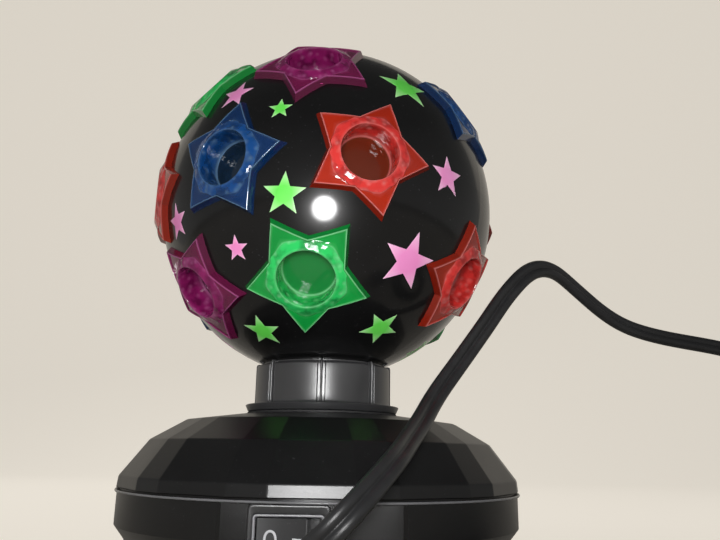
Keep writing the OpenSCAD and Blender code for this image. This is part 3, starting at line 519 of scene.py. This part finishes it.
def makeRocker(c):
    # Rocker's outline carried up: a hollow arc in front, round ends about the pin, a narrow back.
    x = np.linspace(-c["half"], c["half"], c["faceSamples"])
    endX, endY = c["endTo"]
    end = np.linspace(math.atan2(-c["top"], c["half"]), math.atan2(endY, endX), c["endSamples"])[1:]
    rightX, rightY = c["radius"] * np.cos(end), c["radius"] * np.sin(end)
    backX, backY = c["back"]
    outX = np.r_[x, rightX, backX, -backX, -rightX[::-1]]
    outY = np.r_[dipDepth(c, x), rightY, backY, backY, rightY[::-1]]
    points = np.stack([turned(c, outX, outY, z) for z in (c["low"], c["high"])])
    obj = makeMesh("rockerKey", points * mm, shellFaces(2, len(outX)))
    softEdges(obj, c["bevel"], c["bevelFrom"])
    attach(obj, "rocker")
    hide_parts("rocker")
    return obj


rockerKey = makeRocker(rocker)

marks = {
    "proud": 0.05, "ink": 0.09, "strokeSamples": 5,
    "ringMiddle": (-3.0, 21.5), "ringHalf": (1.42, 1.9), "ringStroke": 0.3, "ringSamples": 64,
    "bar": (2.75, 5.6), "barHeight": 21.52, "barStroke": 0.38, "barSamples": 24}


def makeMarks(c):
    # Ring and bar of printed ink on the hollow face: a stroke around an oval, and one along a short line.
    t = fullTurn(c["ringSamples"])
    s = np.linspace(-1, 1, c["strokeSamples"])[:, None]
    ringX = c["ringMiddle"][0] + (c["ringHalf"][0] + c["ringStroke"] * s) * np.cos(t)
    ringZ = c["ringMiddle"][1] + (c["ringHalf"][1] + c["ringStroke"] * s) * np.sin(t)
    barX = np.linspace(*c["bar"], c["barSamples"]) + 0 * s
    barZ = c["barHeight"] + c["barStroke"] * s + 0 * barX
    points = np.concatenate([turned(rocker, x, dipDepth(rocker, x) - c["proud"], z).reshape(-1, 3)
                             for x, z in ((ringX, ringZ), (barX, barZ))])
    ring, bar = gridFaces(*ringX.shape), gridFaces(*barX.shape, closeColumns=False) + ringX.size
    obj = makeMesh("switchMarks", points * mm, [ring, bar], smoothAngle=60)
    ink = obj.modifiers.new("ink", "SOLIDIFY")
    ink.thickness, ink.offset = c["ink"] * mm, -1
    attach(obj, "rocker")
    return obj


switchMarks = makeMarks(marks)
print("switch made")

globe = {"middle": np.array([0.0, 0.0, 128.5]), "radius": 60.0, "patternTurn": -30.0}
lens = {
    # star's outline on top and at its foot, and samples on each of its ten edges
    "tipTop": 19.25, "waistTop": 11.95, "tipFoot": 20.2, "waistFoot": 12.5, "samples": 14,
    "top": 2.2, "ring": 3.0, "floor": -5.2,  # heights over the globe of arms' edge, raised ring and dish
    # dish, shaft and ring: radius, height over floor, globe or ring, share of facets, tints painted edge
    # highlight, band, dish
    "floorRows": [(.02, 0, 0, 0, 0, 1), (2, -.01, 0, 0, 0, 1), (4, -.03, 0, 0, 0, 1), (5.6, -.05, 0, 0, 0, 1),
                  (7, -.07, 0, 0, 0, 1), (8, -.05, 0, 0, 0, 1), (8.3, .03, 0, .3, .3, .7),
                  (8.5, .2, 0, .9, .5, 0), (8.6, .6, 0, .7, .7, 0), (8.64, 1, 0, .2, .9, 0)],
    "shaftRows": [(8.7, -2.6, 0, 0, 1, 0), (8.76, 0, 0, 0, 1, 0), (8.82, 1.7, 0, 0, 1, 0)],
    "ringRows": [(8.9, -.5, 0, .1, 1, 0), (8.98, -.16, 0, .35, .9, 0), (9.08, -.02, 0, .45, .9, 0),
                 (9.22, .02, 0, .15, 1, 0), (9.6, -.03, 0, .1, 1, 0), (9.9, -.12, .3, 0, 1, 0),
                 (10.6, -.3, .6, 0, 1, 0), (11.2, -.5, .8, 0, 1, 0)],
    # band: its outer radius and the wave in it, depth of its facets, least distance from the star's outline
    "band": 12.1, "bandWave": 0.25, "facet": 0.10, "bandInset": 0.52,
    # step from band to arm: way out, share of the arm, height over the top, share of the facets, painted edge
    # highlight, band
    "stepRows": [(0, 0, 0, 1, .1, 1), (.012, 0, -.08, 1, .4, .7), (.02, .1, -.28, 0, .05, .1)],
    # arms: distance of their ends from the outline, places along them, dip, and fall towards the tips
    "armInset": 0.47, "armShares": (.3, .5, .7, .9), "armDip": 0.28, "tipFall": 0.12, "tipFrom": 12,
    "tipOver": 7,
    # raised edge: distance from the outline, height over the top, tints painted edge highlight and dish
    "edgeRows": [(.42, -.26, .15, 0), (.32, .06, .5, 0), (.2, .09, .65, 0), (.06, .02, .6, 0),
                 (0, -.12, .3, .4)],
    "insetRadius": 11.6,  # radius at which a distance from the outline is true
    # outer wall: places down it and its dish tint, under a darker wall tint that is painted shade. Shank and
    # underside: radius, height over the globe or floor
    "wallShares": (.15, .6, .9, 1), "wallTint": 0.8, "shankRows": [(11.4, .03), (11.4, -2.8), (10, -2.8)],
    "underRows": [(9.7, -.9), (9.0, -1.3), (4, -1.2), (.02, -1.2)],
}
upper = 42.7  # degrees from the pattern's pole to a lens of the upper circle
lower = 180 - upper
# degrees from the pattern's pole, degrees round it, turn of the star in its place, colour
lensSites = [
    (upper, 60, 62, "magenta"), (upper, 120, 30, "green"), (0, 0, 8, "blue"), (upper, 0, 69, "red"),
    (90, 30, 15, "blue"), (upper, 180, 40, "red"), (upper, 240, 36, "magenta"), (upper, 300, 29, "green"),
    (90, 330, 38, "red"), (lower, 300, 20, "green"), (lower, 0, 50, "red"), (90, 90, 0, "blue"),
    (lower, 60, 10, "magenta"), (lower, 120, 44, "red"), (90, 150, 25, "magenta"), (90, 210, 60, "blue"),
    (lower, 180, 33, "green"), (lower, 240, 55, "magenta"), (180, 0, 5, "blue")]


def turnAbout(axis, degrees):
    # Matrix of a turn about one axis.
    c, s = math.cos(math.radians(degrees)), math.sin(math.radians(degrees))
    i, j = {"x": (1, 2), "y": (2, 0), "z": (0, 1)}[axis]
    m = np.eye(3)
    m[i, i], m[j, j], m[i, j], m[j, i] = c, c, -s, s
    return m


def starRadius(tip, waist, angle):
    # Distance from the middle to the star's straight edge at an angle: tips lie at 0, 72, 144 degrees and on.
    a = np.radians(np.abs(np.mod(angle + 36, 72) - 36))
    full = math.radians(36)
    return tip * waist * math.sin(full) / (tip * np.sin(a) + waist * np.sin(full - a))


def lensRows(c):
    # Rows of the lens from the dish's middle over ring, band and arms to the star's outline, down its wall and
    # back under it: radius and height over the globe, both by angle, and the tints painted edge highlight,
    # band, dish and wall.
    angle = np.arange(10 * c["samples"]) * 36 / c["samples"]
    one = np.ones_like(angle)
    outline = starRadius(c["tipTop"], c["waistTop"], angle)
    foot = starRadius(c["tipFoot"], c["waistFoot"], angle)
    floor, top, tint = c["floor"], c["top"], c["wallTint"]

    def inside(inset):
        return outline * (1 - inset / c["insetRadius"])

    facet = c["facet"] * np.abs(np.mod(angle, 36) - 18) / 18
    band = np.minimum(c["band"] + c["bandWave"] * np.cos(np.radians(10 * angle)), inside(c["bandInset"]))
    arm = inside(c["armInset"]) - band
    tipward = np.clip((outline - c["tipFrom"]) / c["tipOver"], 0, 1)
    wallTop, wallFoot = top + c["edgeRows"][-1][1], c["shankRows"][0][1]
    rows = [(r * one, level + h - f * facet, e, b, d, 0)
            for level, part in ((floor, "floorRows"), (0, "shaftRows"), (c["ring"], "ringRows"))
            for r, h, f, e, b, d in c[part]]
    rows += [(band + out + t * arm, top + h - f * facet, e, b, 0, 0) for out, t, h, f, e, b in c["stepRows"]]
    rows += [(band + t * arm, top - c["armDip"] - c["tipFall"] * t * tipward, 0, 0, 0, 0)
             for t in c["armShares"]]
    rows += [(inside(inset), (top + h) * one, e, 0, d, 0) for inset, h, e, d in c["edgeRows"]]
    # The wall, shank and underside rows take the wall's darker tint: painted shade along the star's sides.
    rows += [(outline + (foot - outline) * t, (wallTop * (1 - t) + wallFoot * t) * one, 0, 0, tint, 1)
             for t in c["wallShares"]]
    rows += [(r * one, (level + h) * one, 0, 0, tint, 1)
             for level, part in ((0, "shankRows"), (floor, "underRows")) for r, h in c[part]]
    radius, height = (np.stack([row[k] for row in rows]) for k in (0, 1))
    return angle, radius, height, np.array([row[2:] for row in rows], float)


def makeLens(index, site, c):
    # Rows laid over the globe's sphere about its top, then turned to the lens's place in the pattern.
    angle, r, h, tints = lensRows(c)
    fromPole, around, turn, color = site
    points = aroundAxis(r, np.radians(angle), np.sqrt((globe["radius"] + h) ** 2 - r ** 2))
    place = (turnAbout("z", globe["patternTurn"]) @ turnAbout("x", 90) @ turnAbout("z", around)
             @ turnAbout("y", fromPole) @ turnAbout("z", turn))
    points = points.reshape(-1, 3) @ place.T + globe["middle"]
    obj = makeMesh(f"starLens{index + 1:02d}", points * mm, shellFaces(*r.shape, flip=True), smoothAngle=22,
                   attributes={"lensShare": np.repeat(tints, len(angle), 0)})
    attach(obj, "globe")
    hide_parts(f"lens_{index + 1:02d}")
    return obj


starLenses = [makeLens(index, site, lens) for index, site in enumerate(lensSites)]
print("lenses made:", len(starLenses))

stickers = {
    "proud": 0.05, "waist": 0.42, "samples": 60,
    # rings as shares of the star, and their height as a share of proud: the first lies inside the globe
    "rings": [(1.0, -0.12), (1.0, 0.6), (0.985, 1), (0.8, 1), (0.6, 1), (0.4, 1), (0.2, 1), (0.01, 1)],
    # latitude, azimuth from the front towards the right, middle to tip, turn
    "green": [(-12.2, -11.3, 6.9, -4.8), (14.9, -13.9, 4.0, -0.3), (29.7, 28.9, 9.2, -2.9),
              (-54.4, -32.7, 6.8, -9.2), (-52.3, 30.2, 7.0, 43.4), (57, -146, 8, 10), (-57, 88, 7.5, 50),
              (-1, -132, 8.5, -20), (53, -92, 7, 25), (26, 93, 7.5, -12), (-26, -86, 6.5, 30), (61, 152, 6, 0),
              (-28, -154, 7, 12), (11, 171, 4.5, 5), (25, 150, 4.3, 28)],
    "pink": [(25.1, -32.7, 6.5, -6.6), (-1.1, 40.0, 6.9, 0.7), (-29.0, 29.9, 9.6, -8.4),
             (-13.6, -55.3, 6.3, 1.0), (-26.4, -29.0, 4.3, -4.0), (-56, -147, 8, 15), (56, 89, 7.5, -30),
             (-53, -92, 7, 8), (4, -103, 7.5, 40), (-26, 92, 7, 22), (26, -85, 6, -15), (24, -153, 7, 33),
             (-55, 148, 5, 10), (-13, 127, 4.5, -20), (-13, 172, 4.3, 30)]}


def makeStickers(name, spots):
    # Five-pointed foil stars on the globe: rings shrink from the star's edge to its middle on the sphere.
    lat, az, tip, turn = np.array(spots, float).T[..., None, None]
    share, rise = np.array(stickers["rings"]).T
    angle = np.arange(stickers["samples"]) * 360 / stickers["samples"]
    reach = share[:, None] * starRadius(1.0, stickers["waist"], angle)
    r = tip * reach
    a = np.radians(turn + 90 - angle[None, None])
    la, lo = np.radians(lat), np.radians(az)
    out = np.concatenate([np.sin(lo) * np.cos(la), -np.cos(lo) * np.cos(la), np.sin(la)], -1)[:, :, None]
    east = np.concatenate([np.cos(lo), np.sin(lo), 0 * lo], -1)[:, :, None]
    north = np.cross(out, east)
    radius = globe["radius"] + stickers["proud"] * rise[None, :, None]
    points = (np.sqrt(radius ** 2 - r ** 2)[..., None] * out + (r * np.cos(a))[..., None] * east
              + (r * np.sin(a))[..., None] * north + globe["middle"])
    shift = np.arange(len(spots))[:, None, None] * reach.size
    faces = [(block + shift).reshape(-1, block.shape[1]) for block in shellFaces(*reach.shape, flip=True)]
    tips = np.tile(reach.ravel(), len(spots))[:, None]
    obj = makeMesh(name, points * mm, faces, smoothAngle=40, attributes={"tipShare": np.repeat(tips, 3, 1)})
    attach(obj, "globe")
    return obj


greenStars = makeStickers("greenStickers", stickers["green"])
pinkStars = makeStickers("pinkStickers", stickers["pink"])
print("stickers made")


def srgb(r, g, b):
    # Colour as read off a screen, 0 to 255, turned into linear light.
    c = np.array([r, g, b]) / 255
    linear = np.where(c <= 0.04045, c / 12.92, ((c + 0.055) / 1.055) ** 2.4)
    return (*linear.tolist(), 1.0)


def grey(value):
    # Neutral colour with a little more blue in it.
    return (value, value, value * 1.05, 1)


def shade(color, factor):
    # Colour with its light multiplied by a factor.
    return (*(factor * part for part in color[:3]), 1)


def feed(node, **values):
    # Each named input takes another node's result or a plain value.
    for key, value in values.items():
        connect(node.inputs[key.replace("_", " ")], value)


def connect(socket, value):
    # A link for another node's result, or a value on the socket itself.
    if isinstance(value, bpy.types.NodeSocket):
        socket.id_data.links.new(value, socket)
    else:
        socket.default_value = value


def addNode(tree, kind, **values):
    # New node with its inputs fed.
    node = tree.nodes.new("ShaderNode" + kind)
    feed(node, **values)
    return node


def newMaterial(name, color, roughness, **constants):
    # Principled material with its constants on the shader's own sockets, and the place that its patterns read.
    mat = bpy.data.materials.new(name)
    mat.use_nodes = True
    shader = mat.node_tree.nodes["Principled BSDF"]
    feed(shader, Base_Color=color, Roughness=roughness, **constants)
    return mat, mat.node_tree, shader, addNode(mat.node_tree, "TexCoord").outputs["Object"]


def addNoise(tree, vector, scale, detail=3.0, stretch=None):
    # Cloudy pattern, with its place multiplied by stretch on each axis.
    if stretch:
        vector = addNode(tree, "Mapping", Vector=vector, Scale=stretch).outputs["Vector"]
    return addNode(tree, "TexNoise", Vector=vector, Scale=scale, Detail=detail).outputs["Fac"]


def addRange(tree, value, source, target):
    # Straight line from the source pair to the target pair, held at both ends.
    return addNode(tree, "MapRange", Value=value, From_Min=source[0], From_Max=source[1], To_Min=target[0],
                   To_Max=target[1]).outputs["Result"]


def addMix(tree, factor, first, second):
    # Colour mix of two sockets or plain colours.
    node = tree.nodes.new("ShaderNodeMix")
    node.data_type = "RGBA"
    sockets = {socket.identifier: socket for socket in node.inputs}
    for key, value in (("Factor_Float", factor), ("A_Color", first), ("B_Color", second)):
        connect(sockets[key], value)
    return next(socket for socket in node.outputs if socket.identifier == "Result_Color")


def addMath(tree, operation, *values):
    # Sum, product or other step on sockets and plain numbers.
    node = tree.nodes.new("ShaderNodeMath")
    node.operation = operation
    for socket, value in zip(node.inputs, values):
        connect(socket, value)
    return node.outputs[0]


def addAxes(tree, vector):
    # The parts X, Y and Z of a vector.
    return addNode(tree, "SeparateXYZ", Vector=vector).outputs


def addAttribute(tree, name):
    # Values that a piece's mesh carries at its points.
    node = tree.nodes.new("ShaderNodeAttribute")
    node.attribute_name = name
    return node.outputs


def addBump(tree, shader, height, strength, distance):
    # Small relief in the shading, its full height in metres.
    bump = addNode(tree, "Bump", Height=height, Strength=strength, Distance=distance)
    feed(shader, Normal=bump.outputs["Normal"])


# The housing's flat front panel is smoother: in front of a depth and below a height, each with a short blend.
panelGloss = {"depth": (-0.0614, -0.0612), "height": (0.0299, 0.0303), "change": -0.1}


def mouldedPlastic(name, color, dust, roughness, spread, grain, strength, panel=None, worn=None, **constants):
    # Cloudy gloss, fine grain, and pale dust specks in the colour. The mesh says where a painted highlight line
    # lies.
    mat, tree, shader, place = newMaterial(name, color, roughness, **constants)
    cloud = addNoise(tree, place, scale=45, detail=4)
    rough = addRange(tree, cloud, (0.3, 0.7), (roughness - spread, roughness + spread))
    if panel:
        axes = addAxes(tree, place)
        front = addRange(tree, axes["Y"], panel["depth"], (1, 0))
        below = addRange(tree, axes["Z"], panel["height"], (panel["change"], 0))
        rough = addMath(tree, "MULTIPLY_ADD", front, below, rough)
    specks = addRange(tree, addNoise(tree, place, scale=1400, detail=1), (0.72, 0.78), (0, 0.55))
    base = addMix(tree, addRange(tree, cloud, (0.35, 0.75), (0, 1)), color, shade(color, 1.5))
    base = addMix(tree, specks, base, dust)
    # Painted highlight: a pale line where the mesh marks it.
    if worn:
        base = addMix(tree, addAttribute(tree, "paintedHighlightLine")["Fac"], base, worn)
    feed(shader, Roughness=rough, Base_Color=base)
    addBump(tree, shader, addNoise(tree, place, grain, detail=2), strength, distance=0.0001)
    return mat


def brushedMetal(name, color, roughness, stretch):
    # Metal with fine drawn lines in its gloss and relief, and a slow change of tone.
    mat, tree, shader, place = newMaterial(name, color, roughness, Metallic=1.0)
    lines = addNoise(tree, place, scale=900, stretch=stretch)
    tone = addRange(tree, addNoise(tree, place, scale=120), (0.3, 0.7), (0, 1))
    feed(shader, Roughness=addRange(tree, lines, (0.3, 0.7), (roughness - 0.08, roughness + 0.12)),
         Base_Color=addMix(tree, tone, color, shade(color, 0.82)))
    addBump(tree, shader, lines, strength=0.12, distance=0.00005)
    return mat


def lensPlastic(name, arm, band, dish, edge, clear):
    # Clear plastic with tints of their own for arms, band and dish. The edge tint is a painted highlight on
    # raised edges and rims, and a darker copy of the arm's tint is painted shade on the outer wall. Dark flow
    # lines cross the band, and a cell pattern swells it like small bubbles and catches the light; pale spots of
    # the edge tint on the cells are painted glints.
    mat, tree, shader, place = newMaterial(name, band, 0.1, Transmission_Weight=clear, IOR=1.49,
                                           Coat_Weight=0.3, Coat_Roughness=0.05)
    shares = addAttribute(tree, "lensShare")
    split = addNode(tree, "SeparateColor", Color=shares["Color"]).outputs
    voronoi = addNode(tree, "TexVoronoi", Vector=place, Scale=430)
    voronoi.feature = "SMOOTH_F1"
    cells = voronoi.outputs["Distance"]
    flow = addNoise(tree, place, scale=260, detail=4)
    bandColour = addMix(tree, addRange(tree, flow, (0.44, 0.66), (0, 0.85)), band, shade(band, 0.4))
    # Painted glints: pale spots of the edge tint at the middles of the bubble cells.
    bandColour = addMix(tree, addRange(tree, cells, (0.05, 0.4), (0.5, 0)), bandColour, edge)
    drift = addRange(tree, addNoise(tree, place, scale=90, detail=2), (0.35, 0.7), (0, 0.6))
    colour = addMix(tree, split["Green"], addMix(tree, drift, arm, shade(arm, 0.55)), bandColour)
    colour = addMix(tree, split["Blue"], colour, dish)
    # Painted highlight: the edge tint on raised edges and rims.
    colour = addMix(tree, split["Red"], colour, edge)
    # Painted shade: the outer wall and underside take a darker copy of the arm's tint.
    colour = addMix(tree, shares["Alpha"], colour, shade(arm, 0.6))
    feed(shader, Base_Color=colour, Roughness=addRange(tree, flow, (0.3, 0.7), (0.06, 0.16)))
    ripple = addMath(tree, "MULTIPLY", flow, addRange(tree, split["Blue"], (0, 1), (0.25, 0.02)))
    bubbles = addMath(tree, "MULTIPLY", cells, split["Green"])
    addBump(tree, shader, addMath(tree, "ADD", ripple, bubbles), strength=0.55, distance=0.0009)
    return mat


def foil(name, color, pale, tips=None):
    # Thin film: cloudy colour, paler towards the points where tips is given.
    mat, tree, shader, place = newMaterial(name, color, 0.38, Coat_Weight=0.2, Coat_Roughness=0.2)
    tint = addMix(tree, addRange(tree, addNoise(tree, place, scale=60), (0.35, 0.7), (0, 0.6)), color, pale)
    if tips:
        reach = addRange(tree, addAttribute(tree, "tipShare")["Fac"], (0.35, 1.0), (0, 0.8))
        tint = addMix(tree, reach, tint, tips)
    feed(shader, Base_Color=tint)
    addBump(tree, shader, addNoise(tree, place, scale=900, detail=2), strength=0.08, distance=0.0001)
    return mat


def cordRubber(name, color):
    # Soft sheath: fine drag lines along the cord, by its own map, and a cloudy tone.
    mat, tree, shader, place = newMaterial(name, color, 0.32)
    along = tree.nodes.new("ShaderNodeUVMap")
    along.uv_map = "along"
    lines = addNoise(tree, along.outputs["UV"], scale=40, stretch=(3.0, 0.6, 1))
    cloud = addRange(tree, addNoise(tree, place, scale=160, detail=4), (0.4, 0.75), (0, 1))
    feed(shader, Roughness=addRange(tree, lines, (0.3, 0.7), (0.31, 0.4)),
         Base_Color=addMix(tree, cloud, color, shade(color, 1.3)))
    addBump(tree, shader, lines, strength=0.18, distance=0.0002)
    return mat


def bulbGlass(name, color):
    # Clear blown glass with a faint change of gloss.
    mat, tree, shader, place = newMaterial(name, color, 0.04, Transmission_Weight=1.0, IOR=1.5)
    feed(shader, Roughness=addRange(tree, addNoise(tree, place, scale=90), (0.3, 0.7), (0.02, 0.08)))
    return mat


plastics = {
    # material, colour, dust, roughness and its spread, scale and strength of the grain, what else it has
    "black_globe": ("globeGloss", grey(0.005), grey(0.05), 0.12, 0.02, 260, 0.02,
                    {"IOR": 1.42, "Coat_Weight": 0.32, "Coat_Roughness": 0.3}),
    "black_housing": ("housingBlack", grey(0.006), grey(0.05), 0.31, 0.03, 2600, 0.12,
                      {"panel": panelGloss, "IOR": 1.54}),
    "black_collar": ("collarSatin", grey(0.03), grey(0.08), 0.34, 0.03, 2200, 0.06, {"IOR": 2.0}),
    # The bead's light grey colour is a painted reflection of the lit room along the black lip.
    "bead_gloss": ("beadGloss", grey(0.14), grey(0.2), 0.2, 0.04, 2200, 0.1, {"IOR": 1.6}),
    "switch_plastic": ("switchSatin", grey(0.02), grey(0.08), 0.25, 0.03, 2800, 0.12, {"IOR": 1.5}),
    "rocker_satin": ("rockerSatin", grey(0.028), grey(0.08), 0.42, 0.03, 2800, 0.12, {"IOR": 1.6}),
    # The frame's pale line on its bead is a painted highlight.
    "switch_frame": ("frameSatin", grey(0.02), grey(0.08), 0.3, 0.03, 2800, 0.12,
                     {"worn": grey(0.32), "IOR": 1.6}),
    "black_rubber": ("footRubber", grey(0.018), grey(0.06), 0.7, 0.08, 1800, 0.4, {}),
    "relief_rubber": ("reliefRubber", grey(0.02), grey(0.06), 0.48, 0.06, 1800, 0.25, {}),
    "ivory_plastic": ("ivoryPlastic", (0.78, 0.74, 0.64, 1), (0.5, 0.46, 0.38, 1), 0.4, 0.06, 1600, 0.12, {}),
}
metals = {
    # material, colour, roughness, stretch of the drawn lines
    "zinc_steel": ("zincSteel", (0.62, 0.63, 0.64, 1), 0.3, (1, 1, 0.08)),
    "brass": ("brassBright", (0.7, 0.56, 0.3, 1), 0.24, (0.08, 1, 1)),
}
lensTints = {
    # material, then arm, band, dish and edge, the edge colour a painted highlight, and how clear the plastic is
    "lens_red": ("lensRed", srgb(196, 48, 24), srgb(250, 66, 62), srgb(112, 44, 24), srgb(255, 150, 145), 0.3),
    "lens_green": ("lensGreen", srgb(26, 184, 78), srgb(52, 226, 112), srgb(34, 142, 68), srgb(165, 250, 185),
                   0.3),
    "lens_blue": ("lensBlue", srgb(24, 72, 136), srgb(28, 96, 176), srgb(28, 48, 66), srgb(130, 172, 210), 0.5),
    "lens_magenta": ("lensMagenta", srgb(140, 28, 88), srgb(168, 36, 116), srgb(104, 24, 72),
                     srgb(222, 120, 186), 0.4),
}
foils = {
    # material, colour, its paler clouds, points
    "green_foil": ("greenFoil", srgb(96, 226, 76), srgb(130, 238, 110), srgb(205, 244, 190)),
    "pink_foil": ("pinkFoil", srgb(244, 136, 200), srgb(250, 168, 222), srgb(252, 212, 236)),
    "ink": ("whiteInk", srgb(215, 215, 218), srgb(180, 180, 184)),
}
finishes = {key: mouldedPlastic(*row, **extra) for key, (*row, extra) in plastics.items()}
for makeFinish, table in ((brushedMetal, metals), (lensPlastic, lensTints), (foil, foils)):
    finishes.update({key: makeFinish(*row) for key, row in table.items()})
finishes["cord_rubber"] = cordRubber("cordSheath", grey(0.021))
finishes["lamp_glass"] = bulbGlass("bulbGlass", (0.95, 0.93, 0.88, 1))


def dress(obj, finish):
    # The finish becomes the object's only material.
    obj.data.materials.clear()
    obj.data.materials.append(finishes[finish])


slotOf = {part["node"]: part["material_slot"] for part in frame["record"]["subparts"]}
for name, obj in nodes.items():
    dress(obj, slotOf[name])
for piece, finish in ((nodes["thrust_washer"], "black_rubber"), (powerCord, "cord_rubber"),
                      (strainRelief, "relief_rubber"), (plugBody, "relief_rubber"), (greenStars, "green_foil"),
                      (pinkStars, "pink_foil"), (switchMarks, "ink"), (facetedCover, "black_housing"),
                      (rimBead, "bead_gloss"), (ribbedCollar, "black_collar"), (switchFrame, "switch_frame"),
                      (rockerKey, "rocker_satin")):
    dress(piece, finish)
for piece, site in zip(starLenses, lensSites):
    dress(piece, "lens_" + site[3])
print("finishes set:", len(finishes))

stageLook = {
    "color": srgb(229, 222, 210), "paper": srgb(176, 171, 162), "roughness": 0.9, "specular": 0.1,
    "glow": 0.78,  # strength that the camera sees, straight or through clear plastic
    # strengths seen in gloss, near and far, and the depths between which one turns into the other
    "mirrorNear": 0.06, "mirrorFar": 0.42, "mirrorDepths": (0.1, 0.8),
    "halfWidth": 2.0, "front": -2.0, "back": 0.85, "bend": 0.5, "top": 1.9, "drop": 0.00015,
    "floorRows": 11, "bendRows": 24, "columns": 9}


def makeStage(c):
    # Paper sweep: flat floor, quarter round, upright wall, as one profile along the width.
    t = np.linspace(0, math.pi / 2, c["bendRows"])
    floor = np.linspace(c["front"], c["back"], c["floorRows"] + 1)[:-1]
    y = np.r_[floor, c["back"] + c["bend"] * np.sin(t), c["back"] + c["bend"]][:, None]
    z = (np.r_[0 * floor, c["bend"] * (1 - np.cos(t)), c["top"]] - c["drop"])[:, None]
    points = np.stack(np.broadcast_arrays(np.linspace(-c["halfWidth"], c["halfWidth"], c["columns"]), y, z), -1)
    faces = gridFaces(len(y), c["columns"], closeColumns=False)[:, ::-1]
    obj = makeMesh("paperSweep", points, [faces], smoothAngle=60)
    mat, tree, shader, place = newMaterial("sweepPaper", c["paper"], c["roughness"],
                                           Specular_IOR_Level=c["specular"])
    ray = addNode(tree, "LightPath").outputs
    seen = addMath(tree, "MAXIMUM", ray["Is Camera Ray"], ray["Is Transmission Ray"])
    mirror = addRange(tree, addAxes(tree, place)["Y"], c["mirrorDepths"], (c["mirrorNear"], c["mirrorFar"]))
    mirror = addMath(tree, "MULTIPLY", ray["Is Glossy Ray"], mirror)
    glow = addMath(tree, "MULTIPLY_ADD", seen, c["glow"], mirror)
    feed(shader, Emission_Color=c["color"], Emission_Strength=glow)
    obj.data.materials.append(mat)


lights = {
    # place in metres, aim, size, watts, spread in degrees, seen in gloss
    "flash": ((-0.003, -0.2507, 0.066), (0, 0, 0.105), 0.062, 0.105, 90, True),
    "leftSoft": ((-0.75, -0.55, 0.75), (0, 0, 0.09), 0.7, 2.6, 180, False),
    "rightSoft": ((0.85, -0.35, 0.55), (0, 0, 0.09), 0.7, 1.4, 180, False),
    "backSoft": ((-0.2, 0.75, 0.8), (0, 0, 0.09), 0.6, 2.6, 180, False),
}


def addLights(table):
    # Round area lights, each turned so that its back points away from its aim.
    for name, (place, aim, size, watts, spread, inGloss) in table.items():
        data = bpy.data.lights.new(name, "AREA")
        data.shape, data.size, data.energy = "DISK", size, watts
        data.spread = math.radians(spread)
        obj = addObject(name, data)
        away = unit(np.array(place, float) - np.array(aim, float))
        right = unit(np.cross([0.0, 0.0, 1.0], away))
        obj.matrix_world = axesMatrix(right, np.cross(away, right), away, place)
        obj.visible_glossy = inGloss
        obj.visible_transmission = inGloss
        obj.visible_camera = False


room = {"color": (1, 0.985, 0.95, 1), "level": 0.26, "overhead": 0.06, "fadesBy": 0.75, "shown": 0.9}


def addWorld(c):
    # Room light: brightest at the horizon, fading overhead, by the height of the direction looked in. Past the
    # stage's edge the camera sees the stage's own pale colour.
    world = bpy.data.worlds.new("softRoom")
    world.use_nodes = True
    tree = world.node_tree
    height = addAxes(tree, addNode(tree, "TexCoord").outputs["Generated"])["Z"]
    strength = addRange(tree, height, (0.0, c["fadesBy"]), (c["level"], c["overhead"]))
    feed(tree.nodes["Background"], Color=c["color"], Strength=strength)
    pale = addNode(tree, "Background", Color=stageLook["color"], Strength=c["shown"])
    choose = addNode(tree, "MixShader", Fac=addNode(tree, "LightPath").outputs["Is Camera Ray"])
    connect(choose.inputs[1], tree.nodes["Background"].outputs[0])
    connect(choose.inputs[2], pale.outputs[0])
    feed(tree.nodes["World Output"], Surface=choose.outputs[0])
    scene.world = world


makeStage(stageLook)
addLights(lights)
addWorld(room)
print("stage and lights set")
